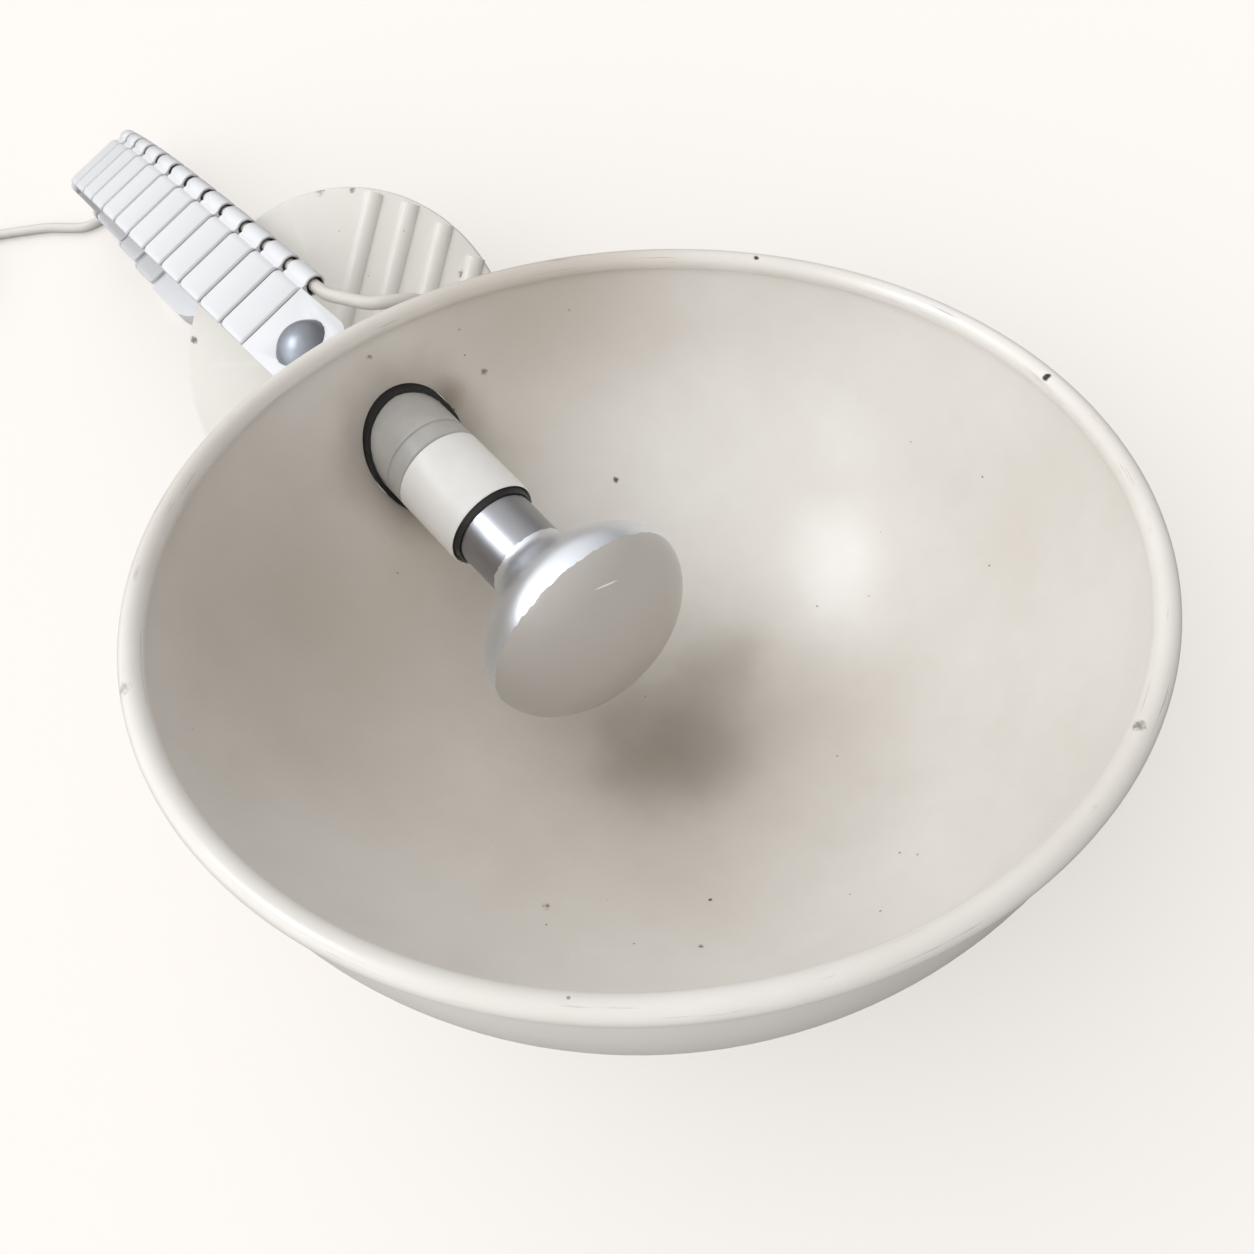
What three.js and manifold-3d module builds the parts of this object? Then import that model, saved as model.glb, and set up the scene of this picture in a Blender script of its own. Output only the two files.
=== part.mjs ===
// A dome-shaded lamp on a folded arm of hinged links, lying as it was set down:
// the lower leg and the shade rest on the floor, and a ribbed round base hangs on a ball joint.
// Millimetres, +Z up. The origin is on the flat underside of the lower arm plate.
import * as THREE from 'three';
import { mergeVertices } from 'three/addons/utils/BufferGeometryUtils.js';
import Module from 'manifold-3d';

const wasm = await Module();
wasm.setup();

// Clearances
const GAP = 0.3;
const RUN = 0.35;

// Arm links
const PITCH = 23.92;
const HALF_THICK = 4.2;
const HALF_WIDTH = 18.4;
const NOSE_R = 2.4;
const NECK_HALF = 1.2;
const UPPER_LINKS = 12;
const FOLD_SLOPES = [25, 83, 146];
const LOWER_LINKS = 2;
const FIRST_SLOPE = 8.9;
const SAG_RATE = 0.12;
const LOWER_FLARE = 9.5;
const KNUCKLE_R = 5.5;
const KNUCKLE_BORE_R = 4;
const KNUCKLE_TOP_GAP = 2.2;
const KNUCKLE_FOOT_GAP = 5.2;
const WEB_HALF = 2.2;
const MOUTH_UP = 141;
const MOUTH_DOWN = 274;
const CORNER_AT = 228;
const CHAMFER = 5.2;

// Lower arm plate, measured along the arm from the origin
const LOWER_HINGE_X = -33;
const LOWER_PLATE_TOP = 10;
const LOWER_PLATE_HALF = 29.7;
const SHOULDER_R = 20;
const LOWER_REACH = 175.7;
const LOWER_BOSS_R = 17;
const LOWER_BALL_R = 11;
const LOWER_LIP_R = 9.9;
const LOWER_BALL_SEAT = 1.9;
const LOWER_STEM_R = 4;
const COVER_R = 14.7;
const COVER_T = 1.5;

// Upper end plate and ball
const BALL_AT = 26.5;
const TIP_BEYOND_BALL = 20.5;
const TIP_CORNER_R = 12;
const BALL_R = 14;
const LIP_R = 12.5;
const SOCKET_BOSS_R = 17;
const SOCKET_DEPTH = 7.6;
const RING_T = 4.6;
const RING_BORE_R = 11.5;
const STEM_R = 4.5;

// Base disc
const DISC_R = 86.5;
const DISC_T = 4;
const DISC_EDGE_R = 1.6;
const RIB_COUNT = 5;
const RIB_PITCH = 19.7;
const RIB_FIRST = -6.6;
const RIB_WIDTH = 9.7;
const RIB_RISE = 3.4;
const BASE_LEAN_X = 23.7;
const BASE_LEAN_Y = -14.7;
const RIB_TURN = 25.3;
const BASE_BOSS_R = 16;
const BASE_BOSS_T = 5;
const BOSS_OFFSET = [-2.8, 21.4];
const BASE_STEM_LENGTH = 23.2;

// Shade, in its own frame: opening towards +Z, centre of the rim at the origin
const RIM_R = 172;
const BEAD_R = 4.3;
const BEAD_INSIDE = 174.6;
const BEAD_OUTSIDE = -81;
const SHADE_DEPTH = 145.9;
const SHADE_POWER = 2.1;
const SHADE_WALL = 1.6;
const HOLE_DEPTH = 54;
const HOLE_R = 24;
const HOLDER_DIP = 10.1;

// Head: holder axis along +X, origin where that axis meets the shade wall
const HEAD_YAW = -2.1;
const HEAD_PITCH = 2.9;
const HEAD_ROLL = -22.5;
const STEM_BACK = 45;
const STEM_LENGTH = 33;
const STEM_LEAN = 9.9;
const HOUSING_R = 14.5;
const FLANGE_R = 21.4;
const FLANGE_T = 3;
const CONE_BACK = 30;
const HOUSING_BACK = 62;
const HOUSING_FRONT = 13;
const HOUSING_WALL = 2.5;
const COLLAR_R = 8;
const COLLAR_TOP = 18.5;
const CAP_T = 5;
const GROMMET_PROUD = 2;
const CUP_R = 21.5;
const CUP_FRONT = 23;
const CUP_WALL = 1.6;
const SLEEVE_FRONT = 63.7;
const SLEEVE_WALL = 1.7;
const INSERT_BACK = 20;
const INSERT_STEP = 49;
const THREAD_R = 14.6;
const THREAD_WALL = 0.7;
const GLAND_R = 6;
const GLAND_BACK = 42;
const GLAND_OUT = 24;

// Bulb, along the same axis
const BULB_R = 47.5;
const BULB_CENTRE = 122.9;
const BULB_FRONT = 30;
const BULB_NECK_R = 17.6;
const BULB_NECK_END = 78;
const BULB_GLASS_BACK = 50;
const BULB_GLASS_WALL = 1.2;
const SCREW_CAP_R = 13.4;
const SCREW_CAP_BACK = 29;
const TIP_R = 4.5;

// Cable
const CABLE_R = 3;
const CABLE_SIDES = 8;
const COIL_INNER_R = 24;
const COIL_STEP = 7.4;
const COIL_TURNS = 3.25;
const COIL_LAYER = 7.2;
const COIL_STEPS = 24;
const COIL_SIDES = 6;
const TAIL_LENGTH = 62;
const RELIEF_LENGTH = 24;
const PLUG_LENGTH = 37;
const PLUG_HEIGHT = 13.7;
const PLUG_REAR_HALF = 6.2;
const PLUG_FRONT_HALF = 13;
const PLUG_EDGE = 2;
const PLUG_PIN_R = 2;
const PLUG_PIN_LENGTH = 19;
const PLUG_PIN_SPACING = 18.6;

const rad = THREE.MathUtils.degToRad;
const V = (x, y, z) => new THREE.Vector3(x, y, z);

const finish = {
  armWhite: { color: 0xf2f2ef, roughness: 0.45, metalness: 0 },
  discWhite: { color: 0xeae7df, roughness: 0.5, metalness: 0 },
  shadeCream: { color: 0xd8d3c8, roughness: 0.4, metalness: 0 },
  chrome: { color: 0xb4b8be, roughness: 0.15, metalness: 1 },
  holderGrey: { color: 0xa9a8a5, roughness: 0.45, metalness: 0 },
  holderCream: { color: 0xe9e5dc, roughness: 0.5, metalness: 0 },
  black: { color: 0x1c1b1a, roughness: 0.6, metalness: 0 },
  brass: { color: 0xb89a55, roughness: 0.35, metalness: 1 },
  bulbGlass: { color: 0xd4d3d1, roughness: 0.3, metalness: 0 },
  bulbCap: { color: 0xaeb0b2, roughness: 0.35, metalness: 1 },
  cable: { color: 0xe6e0d6, roughness: 0.55, metalness: 0 },
};

// Solids and meshes

function solid(geometry) {
  const bare = geometry.clone();
  bare.deleteAttribute('normal');
  bare.deleteAttribute('uv');
  const merged = mergeVertices(bare, 1e-4);
  return new wasm.Manifold(new wasm.Mesh({
    numProp: 3,
    vertProperties: new Float32Array(merged.attributes.position.array),
    triVerts: new Uint32Array(merged.index.array),
  }));
}

function geometryOf(manifold) {
  const mesh = manifold.getMesh();
  const geometry = new THREE.BufferGeometry();
  geometry.setAttribute('position', new THREE.BufferAttribute(new Float32Array(mesh.vertProperties), 3));
  geometry.setIndex(new THREE.BufferAttribute(new Uint32Array(mesh.triVerts), 1));
  geometry.computeVertexNormals();
  return geometry;
}

function piece(name, geometry, look) {
  const mesh = new THREE.Mesh(geometry, new THREE.MeshStandardMaterial(finish[look]));
  mesh.name = name;
  return mesh;
}

// A cylinder along X from one station to another
function rod(radius, from, to, sides = 28) {
  const geometry = new THREE.CylinderGeometry(radius, radius, to - from, sides);
  geometry.rotateZ(-Math.PI / 2);
  geometry.translate((from + to) / 2, 0, 0);
  return geometry;
}

// A cylinder along Z from one height to another
function post(radius, from, to, sides = 28) {
  const geometry = new THREE.CylinderGeometry(radius, radius, to - from, sides);
  geometry.rotateX(Math.PI / 2);
  geometry.translate(0, 0, (from + to) / 2);
  return geometry;
}

// A profile turned about Y, whichever way round its points run, with its faces out
function lathe(outline, sides) {
  const ordered = THREE.ShapeUtils.area(outline) < 0 ? outline.slice().reverse() : outline;
  return new THREE.LatheGeometry(ordered, sides);
}

// A turned piece about X; points are [station, radius], closed on the axis or on themselves
function turned(points, sides = 24) {
  const geometry = lathe(points.map(([s, r]) => new THREE.Vector2(r, s)), sides);
  geometry.rotateZ(-Math.PI / 2);
  return geometry;
}

function block(x0, x1, y0, y1, z0, z1) {
  const geometry = new THREE.BoxGeometry(x1 - x0, y1 - y0, z1 - z0);
  geometry.translate((x0 + x1) / 2, (y0 + y1) / 2, (z0 + z1) / 2);
  return geometry;
}

// A side profile in X and Z, drawn across the arm from y0 to y1
function acrossArm(shape, y0, y1, curveSegments = 3) {
  const geometry = new THREE.ExtrudeGeometry(shape, { depth: y1 - y0, bevelEnabled: false, curveSegments });
  geometry.rotateX(Math.PI / 2);
  geometry.translate(0, y1, 0);
  return geometry;
}

// A round tube of n sides along a smooth curve
function tube(points, radius, sides, steps, smooth = 'centripetal') {
  const curve = new THREE.CatmullRomCurve3(points, false, smooth);
  const section = new THREE.Shape();
  for (let i = 0; i < sides; i += 1) {
    const a = (i + 0.5) * 2 * Math.PI / sides;
    if (i === 0) section.moveTo(radius * Math.cos(a), radius * Math.sin(a));
    else section.lineTo(radius * Math.cos(a), radius * Math.sin(a));
  }
  return new THREE.ExtrudeGeometry(section, { steps, extrudePath: curve, bevelEnabled: false });
}

// Arm link: a slab with a nose at its own hinge and a barrel that holds the next link's nose

const CONCAVE_R = HALF_THICK + RUN + 0.05;
const RECESS_R = NOSE_R + RUN;

// Half of the slab that carries the nose, from the hinge at the origin towards -X
function noseEnd(shape) {
  const top = Math.PI - Math.asin(HALF_THICK / CONCAVE_R);
  const neck = Math.asin(NECK_HALF / CONCAVE_R);
  const nose = Math.asin(NECK_HALF / NOSE_R);
  const corner = rad(CORNER_AT);
  shape.lineTo(CONCAVE_R * Math.cos(top), HALF_THICK);
  shape.absarc(0, 0, CONCAVE_R, top, Math.PI - neck, false);
  shape.lineTo(-NOSE_R * Math.cos(nose), NECK_HALF);
  shape.absarc(0, 0, NOSE_R, Math.PI - nose, Math.PI + nose, true);
  shape.lineTo(-CONCAVE_R * Math.cos(neck), -NECK_HALF);
  shape.absarc(0, 0, CONCAVE_R, Math.PI + neck, corner, false);
  shape.lineTo(-CHAMFER, -HALF_THICK);
}

// The barrel, round the hinge at station x, open towards -X
function barrelEnd(shape, x) {
  const up = rad(MOUTH_UP);
  const down = rad(MOUTH_DOWN) - 2 * Math.PI;
  shape.lineTo(x + HALF_THICK * Math.cos(down), HALF_THICK * Math.sin(down));
  shape.lineTo(x + RECESS_R * Math.cos(down), RECESS_R * Math.sin(down));
  shape.absarc(x, 0, RECESS_R, down, up, false);
  shape.lineTo(x + HALF_THICK * Math.cos(up), HALF_THICK * Math.sin(up));
  shape.absarc(x, 0, HALF_THICK, up, Math.PI / 2, true);
}

const KNUCKLE_Y = HALF_WIDTH + KNUCKLE_R;
const KNUCKLE_Z = HALF_THICK - KNUCKLE_R;

function knuckle() {
  const outline = new THREE.Shape();
  const foot = KNUCKLE_Z - KNUCKLE_R - 1;
  const head = HALF_THICK + 1;
  outline.moveTo(-KNUCKLE_TOP_GAP, head);
  outline.lineTo(-KNUCKLE_FOOT_GAP, foot);
  outline.lineTo(-PITCH + KNUCKLE_FOOT_GAP, foot);
  outline.lineTo(-PITCH + KNUCKLE_TOP_GAP, head);
  outline.closePath();
  const limits = solid(acrossArm(outline, HALF_WIDTH - 1.5, KNUCKLE_Y + KNUCKLE_R + 1));
  const round = rod(KNUCKLE_R, -PITCH, 0, 14);
  round.translate(0, KNUCKLE_Y, KNUCKLE_Z);
  const low = KNUCKLE_Z - WEB_HALF;
  const high = KNUCKLE_Z + WEB_HALF;
  const web = block(-PITCH, 0, HALF_WIDTH - 1.2, KNUCKLE_Y - KNUCKLE_BORE_R, low, high);
  return solid(round).add(solid(web)).intersect(limits);
}

function knuckleBore(from, to) {
  const bore = rod(KNUCKLE_BORE_R, from, to, 10);
  bore.translate(0, KNUCKLE_Y, KNUCKLE_Z);
  return solid(bore);
}

function linkGeometry(leftHalf, carriesCable) {
  const shape = new THREE.Shape();
  shape.moveTo(-PITCH, HALF_THICK);
  noseEnd(shape);
  barrelEnd(shape, -PITCH);
  const slab = solid(acrossArm(shape, -leftHalf, HALF_WIDTH));
  return geometryOf(carriesCable ? slab.add(knuckle()).subtract(knuckleBore(-PITCH - 1, 1)) : slab);
}

// Hinges, from the lower plate through the fold and up to the end plate
const slopes = [];
for (let k = 1; k < UPPER_LINKS; k += 1) slopes.push(FIRST_SLOPE + SAG_RATE * k * k);
slopes.push(...FOLD_SLOPES);
for (let k = 0; k < LOWER_LINKS; k += 1) slopes.push(180);
const LINKS = slopes.length;
const hinges = [];
hinges[LINKS] = V(LOWER_HINGE_X, 0, HALF_THICK);
for (let k = LINKS - 1; k >= 0; k -= 1) {
  const s = rad(slopes[k]);
  hinges[k] = hinges[k + 1].clone().add(V(PITCH * Math.cos(s), 0, PITCH * Math.sin(s)));
}

function leftHalfOf(k) {
  const past = Math.max(0, k - (UPPER_LINKS - 1));
  return HALF_WIDTH + LOWER_FLARE * past / (LINKS - UPPER_LINKS);
}

const lamp = new THREE.Group();
const arm = new THREE.Group();
lamp.add(arm);

for (let k = 0; k < LINKS; k += 1) {
  const number = String(k + 1).padStart(2, '0');
  const link = piece(`arm_link_${number}`, linkGeometry(leftHalfOf(k), k < UPPER_LINKS), 'armWhite');
  link.position.copy(hinges[k]);
  link.rotation.y = -rad(slopes[k]);
  arm.add(link);
}

// Lower arm plate: the nose end of a link, a wide part with round shoulders, a neck and a ball socket
const socketX = LOWER_HINGE_X + LOWER_REACH;
const lowerBall = V(socketX, 0, LOWER_BALL_SEAT + LOWER_BALL_R);
const lowerLipZ = lowerBall.z + Math.sqrt(LOWER_BALL_R ** 2 - (LOWER_LIP_R - GAP) ** 2);
{
  const nose = new THREE.Shape();
  nose.moveTo(-2 * CHAMFER, HALF_THICK);
  noseEnd(nose);
  nose.lineTo(-2 * CHAMFER, -HALF_THICK);
  nose.closePath();
  const noseGeometry = acrossArm(nose, -HALF_WIDTH - LOWER_FLARE, HALF_WIDTH);
  noseGeometry.rotateY(Math.PI);
  noseGeometry.translate(LOWER_HINGE_X, 0, HALF_THICK);
  const start = LOWER_HINGE_X + CHAMFER + 1;
  const plan = new THREE.Shape();
  plan.moveTo(start, -LOWER_PLATE_HALF);
  plan.lineTo(0, -LOWER_PLATE_HALF);
  const shoulder = Math.asin((HALF_WIDTH - LOWER_PLATE_HALF + SHOULDER_R) / SHOULDER_R);
  plan.absarc(0, SHOULDER_R - LOWER_PLATE_HALF, SHOULDER_R, -Math.PI / 2, -shoulder, false);
  plan.lineTo(socketX, -HALF_WIDTH);
  plan.absarc(socketX, 0, HALF_WIDTH, -Math.PI / 2, Math.PI / 2, false);
  plan.absarc(0, LOWER_PLATE_HALF - SHOULDER_R, SHOULDER_R, shoulder, Math.PI / 2, false);
  plan.lineTo(start, LOWER_PLATE_HALF);
  plan.closePath();
  const plate = new THREE.ExtrudeGeometry(plan, { depth: LOWER_PLATE_TOP, bevelEnabled: false, curveSegments: 8 });
  const boss = post(LOWER_BOSS_R, 0, lowerLipZ);
  boss.translate(socketX, 0, 0);
  const ball = new THREE.SphereGeometry(LOWER_BALL_R + GAP, 20, 12);
  ball.rotateX(Math.PI / 2);
  ball.translate(lowerBall.x, 0, lowerBall.z);
  const shaft = post(LOWER_BALL_R + GAP, -1, lowerBall.z);
  shaft.translate(socketX, 0, 0);
  const recess = post(COVER_R + GAP, -1, COVER_T + GAP);
  recess.translate(socketX, 0, 0);
  const body = solid(plate).add(solid(noseGeometry)).add(solid(boss))
    .subtract(solid(ball)).subtract(solid(shaft)).subtract(solid(recess));
  arm.add(piece('lower_arm_plate', geometryOf(body), 'armWhite'));
  const cover = post(COVER_R, 0.05, COVER_T);
  cover.translate(socketX, 0, 0);
  arm.add(piece('lower_socket_cover', cover, 'armWhite'));
}

// Upper end plate, in a frame at the first hinge that slopes like the first link
const endPlate = new THREE.Group();
endPlate.position.copy(hinges[0]);
endPlate.rotation.y = -rad(FIRST_SLOPE);
arm.add(endPlate);
const lipDrop = Math.sqrt(BALL_R ** 2 - (LIP_R - GAP) ** 2);
const ballZ = HALF_THICK - lipDrop;
{
  const tip = BALL_AT + TIP_BEYOND_BALL;
  const side = new THREE.Shape();
  side.moveTo(0, HALF_THICK);
  side.lineTo(tip, HALF_THICK);
  side.lineTo(tip, -HALF_THICK);
  barrelEnd(side, 0);
  const slab = solid(acrossArm(side, -HALF_WIDTH, HALF_WIDTH));
  const plan = new THREE.Shape();
  plan.moveTo(-2 * HALF_THICK, -HALF_WIDTH);
  plan.lineTo(tip - TIP_CORNER_R, -HALF_WIDTH);
  plan.absarc(tip - TIP_CORNER_R, -HALF_WIDTH + TIP_CORNER_R, TIP_CORNER_R, -Math.PI / 2, 0, false);
  plan.absarc(tip - TIP_CORNER_R, HALF_WIDTH - TIP_CORNER_R, TIP_CORNER_R, 0, Math.PI / 2, false);
  plan.lineTo(-2 * HALF_THICK, HALF_WIDTH);
  plan.closePath();
  const outline = new THREE.ExtrudeGeometry(plan, { depth: 4 * HALF_THICK, bevelEnabled: false, curveSegments: 5 });
  outline.translate(0, 0, -2 * HALF_THICK);
  const boss = post(SOCKET_BOSS_R, -SOCKET_DEPTH, 0);
  boss.translate(BALL_AT, 0, 0);
  const ball = new THREE.SphereGeometry(BALL_R + GAP, 20, 12);
  ball.rotateX(Math.PI / 2);
  ball.translate(BALL_AT, 0, ballZ);
  const shaft = post(BALL_R + GAP, -SOCKET_DEPTH - 1, ballZ);
  shaft.translate(BALL_AT, 0, 0);
  const body = slab.intersect(solid(outline)).add(solid(boss)).subtract(solid(ball)).subtract(solid(shaft));
  endPlate.add(piece('upper_end_plate', geometryOf(body), 'armWhite'));
  const ring = post(SOCKET_BOSS_R, -SOCKET_DEPTH - GAP - RING_T, -SOCKET_DEPTH - GAP);
  ring.translate(BALL_AT, 0, 0);
  const bore = post(RING_BORE_R, -SOCKET_DEPTH - RING_T - 2, -SOCKET_DEPTH + 1);
  bore.translate(BALL_AT, 0, 0);
  const ringBody = solid(ring).subtract(solid(bore)).subtract(solid(ball));
  endPlate.add(piece('upper_socket_ring', geometryOf(ringBody), 'armWhite'));
}
endPlate.updateMatrixWorld(true);
const upperBall = endPlate.localToWorld(V(BALL_AT, 0, ballZ));

// Ball with a stem that leaves it along the given direction
function ballWithStem(name, centre, radius, stemRadius, reach, direction) {
  const ball = new THREE.SphereGeometry(radius, 20, 12);
  ball.rotateX(Math.PI / 2);
  const stem = post(stemRadius, 0, reach, 20);
  const mesh = piece(name, geometryOf(solid(ball).add(solid(stem))), 'chrome');
  mesh.position.copy(centre);
  mesh.quaternion.setFromUnitVectors(V(0, 0, 1), direction);
  return mesh;
}

// Head: its frame has +X along the holder's axis and its origin where that axis meets the shade wall
const stemDown = V(0, Math.sin(rad(STEM_LEAN)), -Math.cos(rad(STEM_LEAN)));
const head = new THREE.Group();
head.rotation.set(0, rad(HEAD_PITCH), rad(HEAD_YAW), 'ZYX');
head.updateMatrixWorld(true);
const axis = V(1, 0, 0).applyQuaternion(head.quaternion);
const stemFoot = upperBall.clone().addScaledVector(stemDown, STEM_LENGTH);
head.position.copy(stemFoot).addScaledVector(axis, STEM_BACK);
lamp.add(head);
head.updateMatrixWorld(true);
const headInverse = head.matrixWorld.clone().invert();
const ballInHead = upperBall.clone().applyMatrix4(headInverse);
const footInHead = stemFoot.clone().applyMatrix4(headInverse);
const stemUp = ballInHead.clone().sub(footInHead).normalize();
const stemEnd = STEM_LENGTH - HOUSING_R + HOUSING_WALL;
arm.add(ballWithStem('upper_ball', upperBall, BALL_R, STEM_R, stemEnd, stemDown));
{
  const tubeBody = solid(turned([
    [-HOUSING_BACK, 0],
    [-HOUSING_BACK, HOUSING_R],
    [-CONE_BACK, HOUSING_R],
    [-HOUSING_FRONT - FLANGE_T, FLANGE_R],
    [-HOUSING_FRONT, FLANGE_R],
    [-HOUSING_FRONT, 0],
  ], 28));
  const hollow = solid(rod(HOUSING_R - HOUSING_WALL, -HOUSING_BACK - 1, -HOUSING_FRONT - HOUSING_WALL));
  const turnTo = new THREE.Quaternion().setFromUnitVectors(V(0, 0, 1), stemUp);
  const collar = post(COLLAR_R, HOUSING_R - 2 * HOUSING_WALL, COLLAR_TOP - GAP, 24);
  collar.applyQuaternion(turnTo);
  collar.translate(footInHead.x, footInHead.y, footInHead.z);
  const bore = post(STEM_R + GAP, HOUSING_R - HOUSING_WALL - GAP, COLLAR_TOP + 5, 20);
  bore.applyQuaternion(turnTo);
  bore.translate(footInHead.x, footInHead.y, footInHead.z);
  const gland = post(GLAND_R, HOUSING_R - HOUSING_WALL, GLAND_OUT, 20);
  gland.rotateX(-Math.PI / 2);
  gland.translate(-GLAND_BACK, 0, 0);
  const glandBore = post(CABLE_R + GAP, HOUSING_R - 2 * HOUSING_WALL, GLAND_OUT + 1, 16);
  glandBore.rotateX(-Math.PI / 2);
  glandBore.translate(-GLAND_BACK, 0, 0);
  const housing = tubeBody.add(solid(collar)).subtract(hollow).subtract(solid(bore)).subtract(solid(glandBore));
  head.add(piece('holder_housing', geometryOf(housing), 'armWhite'));
  const wallClear = solid(rod(HOUSING_R + GAP, -HOUSING_BACK, -HOUSING_FRONT));
  const glandBody = solid(gland).subtract(wallClear).subtract(solid(glandBore));
  head.add(piece('cable_gland', geometryOf(glandBody), 'black'));
  head.add(piece('housing_cap', turned([
    [-HOUSING_BACK - GAP, 0],
    [-HOUSING_BACK - GAP, HOUSING_R],
    [-HOUSING_BACK - GAP - CAP_T / 2, HOUSING_R - 0.8],
    [-HOUSING_BACK - GAP - CAP_T, HOUSING_R - 4],
    [-HOUSING_BACK - GAP - CAP_T, 0],
  ]), 'armWhite'));
}

// Shade with its holder and bulb turn together about the holder's axis
const dome = new THREE.Group();
dome.rotation.x = rad(HEAD_ROLL);
head.add(dome);

// From the shade's own frame to the dome's: rim centre, opening direction and the side with the hole
const holeRadius = RIM_R * Math.sqrt(1 - (HOLE_DEPTH / SHADE_DEPTH) ** SHADE_POWER);
const shadePlace = new THREE.Matrix4().makeRotationY(-rad(HOLDER_DIP))
  .multiply(new THREE.Matrix4().makeTranslation(holeRadius, 0, HOLE_DEPTH));
const SHADE_ROWS = 12;

// The shade's curve from the rim to the bottom, grown outwards by the given amount
function shadeCurve(growth) {
  const curve = [];
  for (let i = 0; i <= SHADE_ROWS; i += 1) {
    const a = Math.PI / 2 * i / SHADE_ROWS;
    const down = (SHADE_DEPTH + growth) * Math.sin(a) ** (2 / SHADE_POWER);
    curve.push(new THREE.Vector2(i === SHADE_ROWS ? 0 : (RIM_R + growth) * Math.cos(a), -down));
  }
  return curve;
}

function bowlSolid(growth) {
  const bowl = lathe([new THREE.Vector2(0, 0), ...shadeCurve(growth)], 48);
  bowl.rotateX(Math.PI / 2);
  return solid(bowl.applyMatrix4(shadePlace));
}

{
  const outer = shadeCurve(0);
  const inner = shadeCurve(-SHADE_WALL);
  const bead = [];
  const beadSteps = 8;
  for (let i = 0; i <= beadSteps; i += 1) {
    const a = rad(BEAD_INSIDE + (BEAD_OUTSIDE - BEAD_INSIDE) * i / beadSteps);
    bead.push(new THREE.Vector2(RIM_R + BEAD_R * Math.cos(a), BEAD_R * Math.sin(a)));
  }
  const profile = [...inner.slice().reverse().slice(0, SHADE_ROWS), ...bead, ...outer.slice(1)];
  const shell = lathe(profile, 48);
  shell.rotateX(Math.PI / 2);
  shell.applyMatrix4(shadePlace);
  const hole = solid(rod(HOLE_R, -40, 40, 32));
  dome.add(piece('shade', geometryOf(solid(shell).subtract(hole)), 'shadeCream'));
}
// The ring in the hole follows the slant of the wall, a little proud of both faces
dome.add(piece('hole_grommet', geometryOf(
  solid(rod(HOLE_R - GAP, -40, 40, 32))
    .subtract(solid(rod(CUP_R + GAP, -41, 41, 32)))
    .intersect(bowlSolid(GROMMET_PROUD))
    .subtract(bowlSolid(-SHADE_WALL - GROMMET_PROUD)),
), 'black'));
dome.add(piece('holder_cup', geometryOf(
  solid(rod(CUP_R, -HOUSING_FRONT + GAP, CUP_FRONT, 32))
    .subtract(solid(rod(CUP_R - CUP_WALL, -HOUSING_FRONT + GAP + 2, CUP_FRONT + 1, 32))),
), 'holderGrey'));
const sleeveBore = CUP_R - SLEEVE_WALL;
dome.add(piece('holder_sleeve', geometryOf(
  solid(rod(CUP_R, CUP_FRONT + GAP, SLEEVE_FRONT, 32))
    .subtract(solid(rod(sleeveBore, CUP_FRONT - 1, SLEEVE_FRONT + 1, 32))),
), 'holderCream'));
const insertR = sleeveBore - GAP;
const neckBore = BULB_NECK_R + 0.8;
dome.add(piece('holder_insert', turned([
  [INSERT_BACK, 0],
  [INSERT_BACK, CUP_R - CUP_WALL - GAP],
  [SLEEVE_FRONT - 1.5, insertR],
  [SLEEVE_FRONT - 1.5, neckBore],
  [INSERT_STEP, neckBore],
  [INSERT_STEP, THREAD_R + THREAD_WALL + GAP],
  [INSERT_BACK + 3, THREAD_R + THREAD_WALL + GAP],
  [INSERT_BACK + 3, 0],
], 32), 'black'));
dome.add(piece('thread_shell', turned([
  [INSERT_BACK + 3 + GAP, 0],
  [INSERT_BACK + 3 + GAP, THREAD_R + THREAD_WALL],
  [INSERT_STEP - 1, THREAD_R + THREAD_WALL],
  [INSERT_STEP - 1, THREAD_R],
  [INSERT_BACK + 4 + GAP, THREAD_R],
  [INSERT_BACK + 4 + GAP, 0],
], 32), 'brass'));
dome.add(piece('centre_contact', rod(TIP_R, INSERT_BACK + 4 + 2 * GAP, SCREW_CAP_BACK - 2.6, 20), 'brass'));

// Bulb: a reflector globe on a flared neck, with a screw cap and a tip
{
  const outer = [[BULB_GLASS_BACK, SCREW_CAP_R + 1.2], [BULB_GLASS_BACK + 6, BULB_NECK_R - 0.6]];
  outer.push([BULB_GLASS_BACK + 12, BULB_NECK_R], [BULB_NECK_END, BULB_NECK_R + 1.4]);
  const flare = 7;
  for (let i = 1; i <= flare; i += 1) {
    const t = i / flare;
    const r = BULB_NECK_R + 1.4 + (BULB_R - BULB_NECK_R - 1.4) * Math.sin(t ** 1.3 * Math.PI / 2);
    outer.push([BULB_NECK_END + (BULB_CENTRE - BULB_NECK_END) * t, r]);
  }
  const front = 5;
  for (let i = 1; i <= front; i += 1) {
    const a = Math.PI / 2 * i / front;
    outer.push([BULB_CENTRE + BULB_FRONT * Math.sin(a), i === front ? 0 : BULB_R * Math.cos(a)]);
  }
  const thinner = (s) => (s > BULB_CENTRE ? BULB_GLASS_WALL : 0);
  const inner = outer.slice(0, -1).map(([s, r]) => [s - thinner(s), r - BULB_GLASS_WALL]);
  inner.push([BULB_CENTRE + BULB_FRONT - BULB_GLASS_WALL, 0]);
  dome.add(piece('bulb_glass', turned([...outer.slice().reverse(), ...inner], 26), 'bulbGlass'));
}
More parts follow.
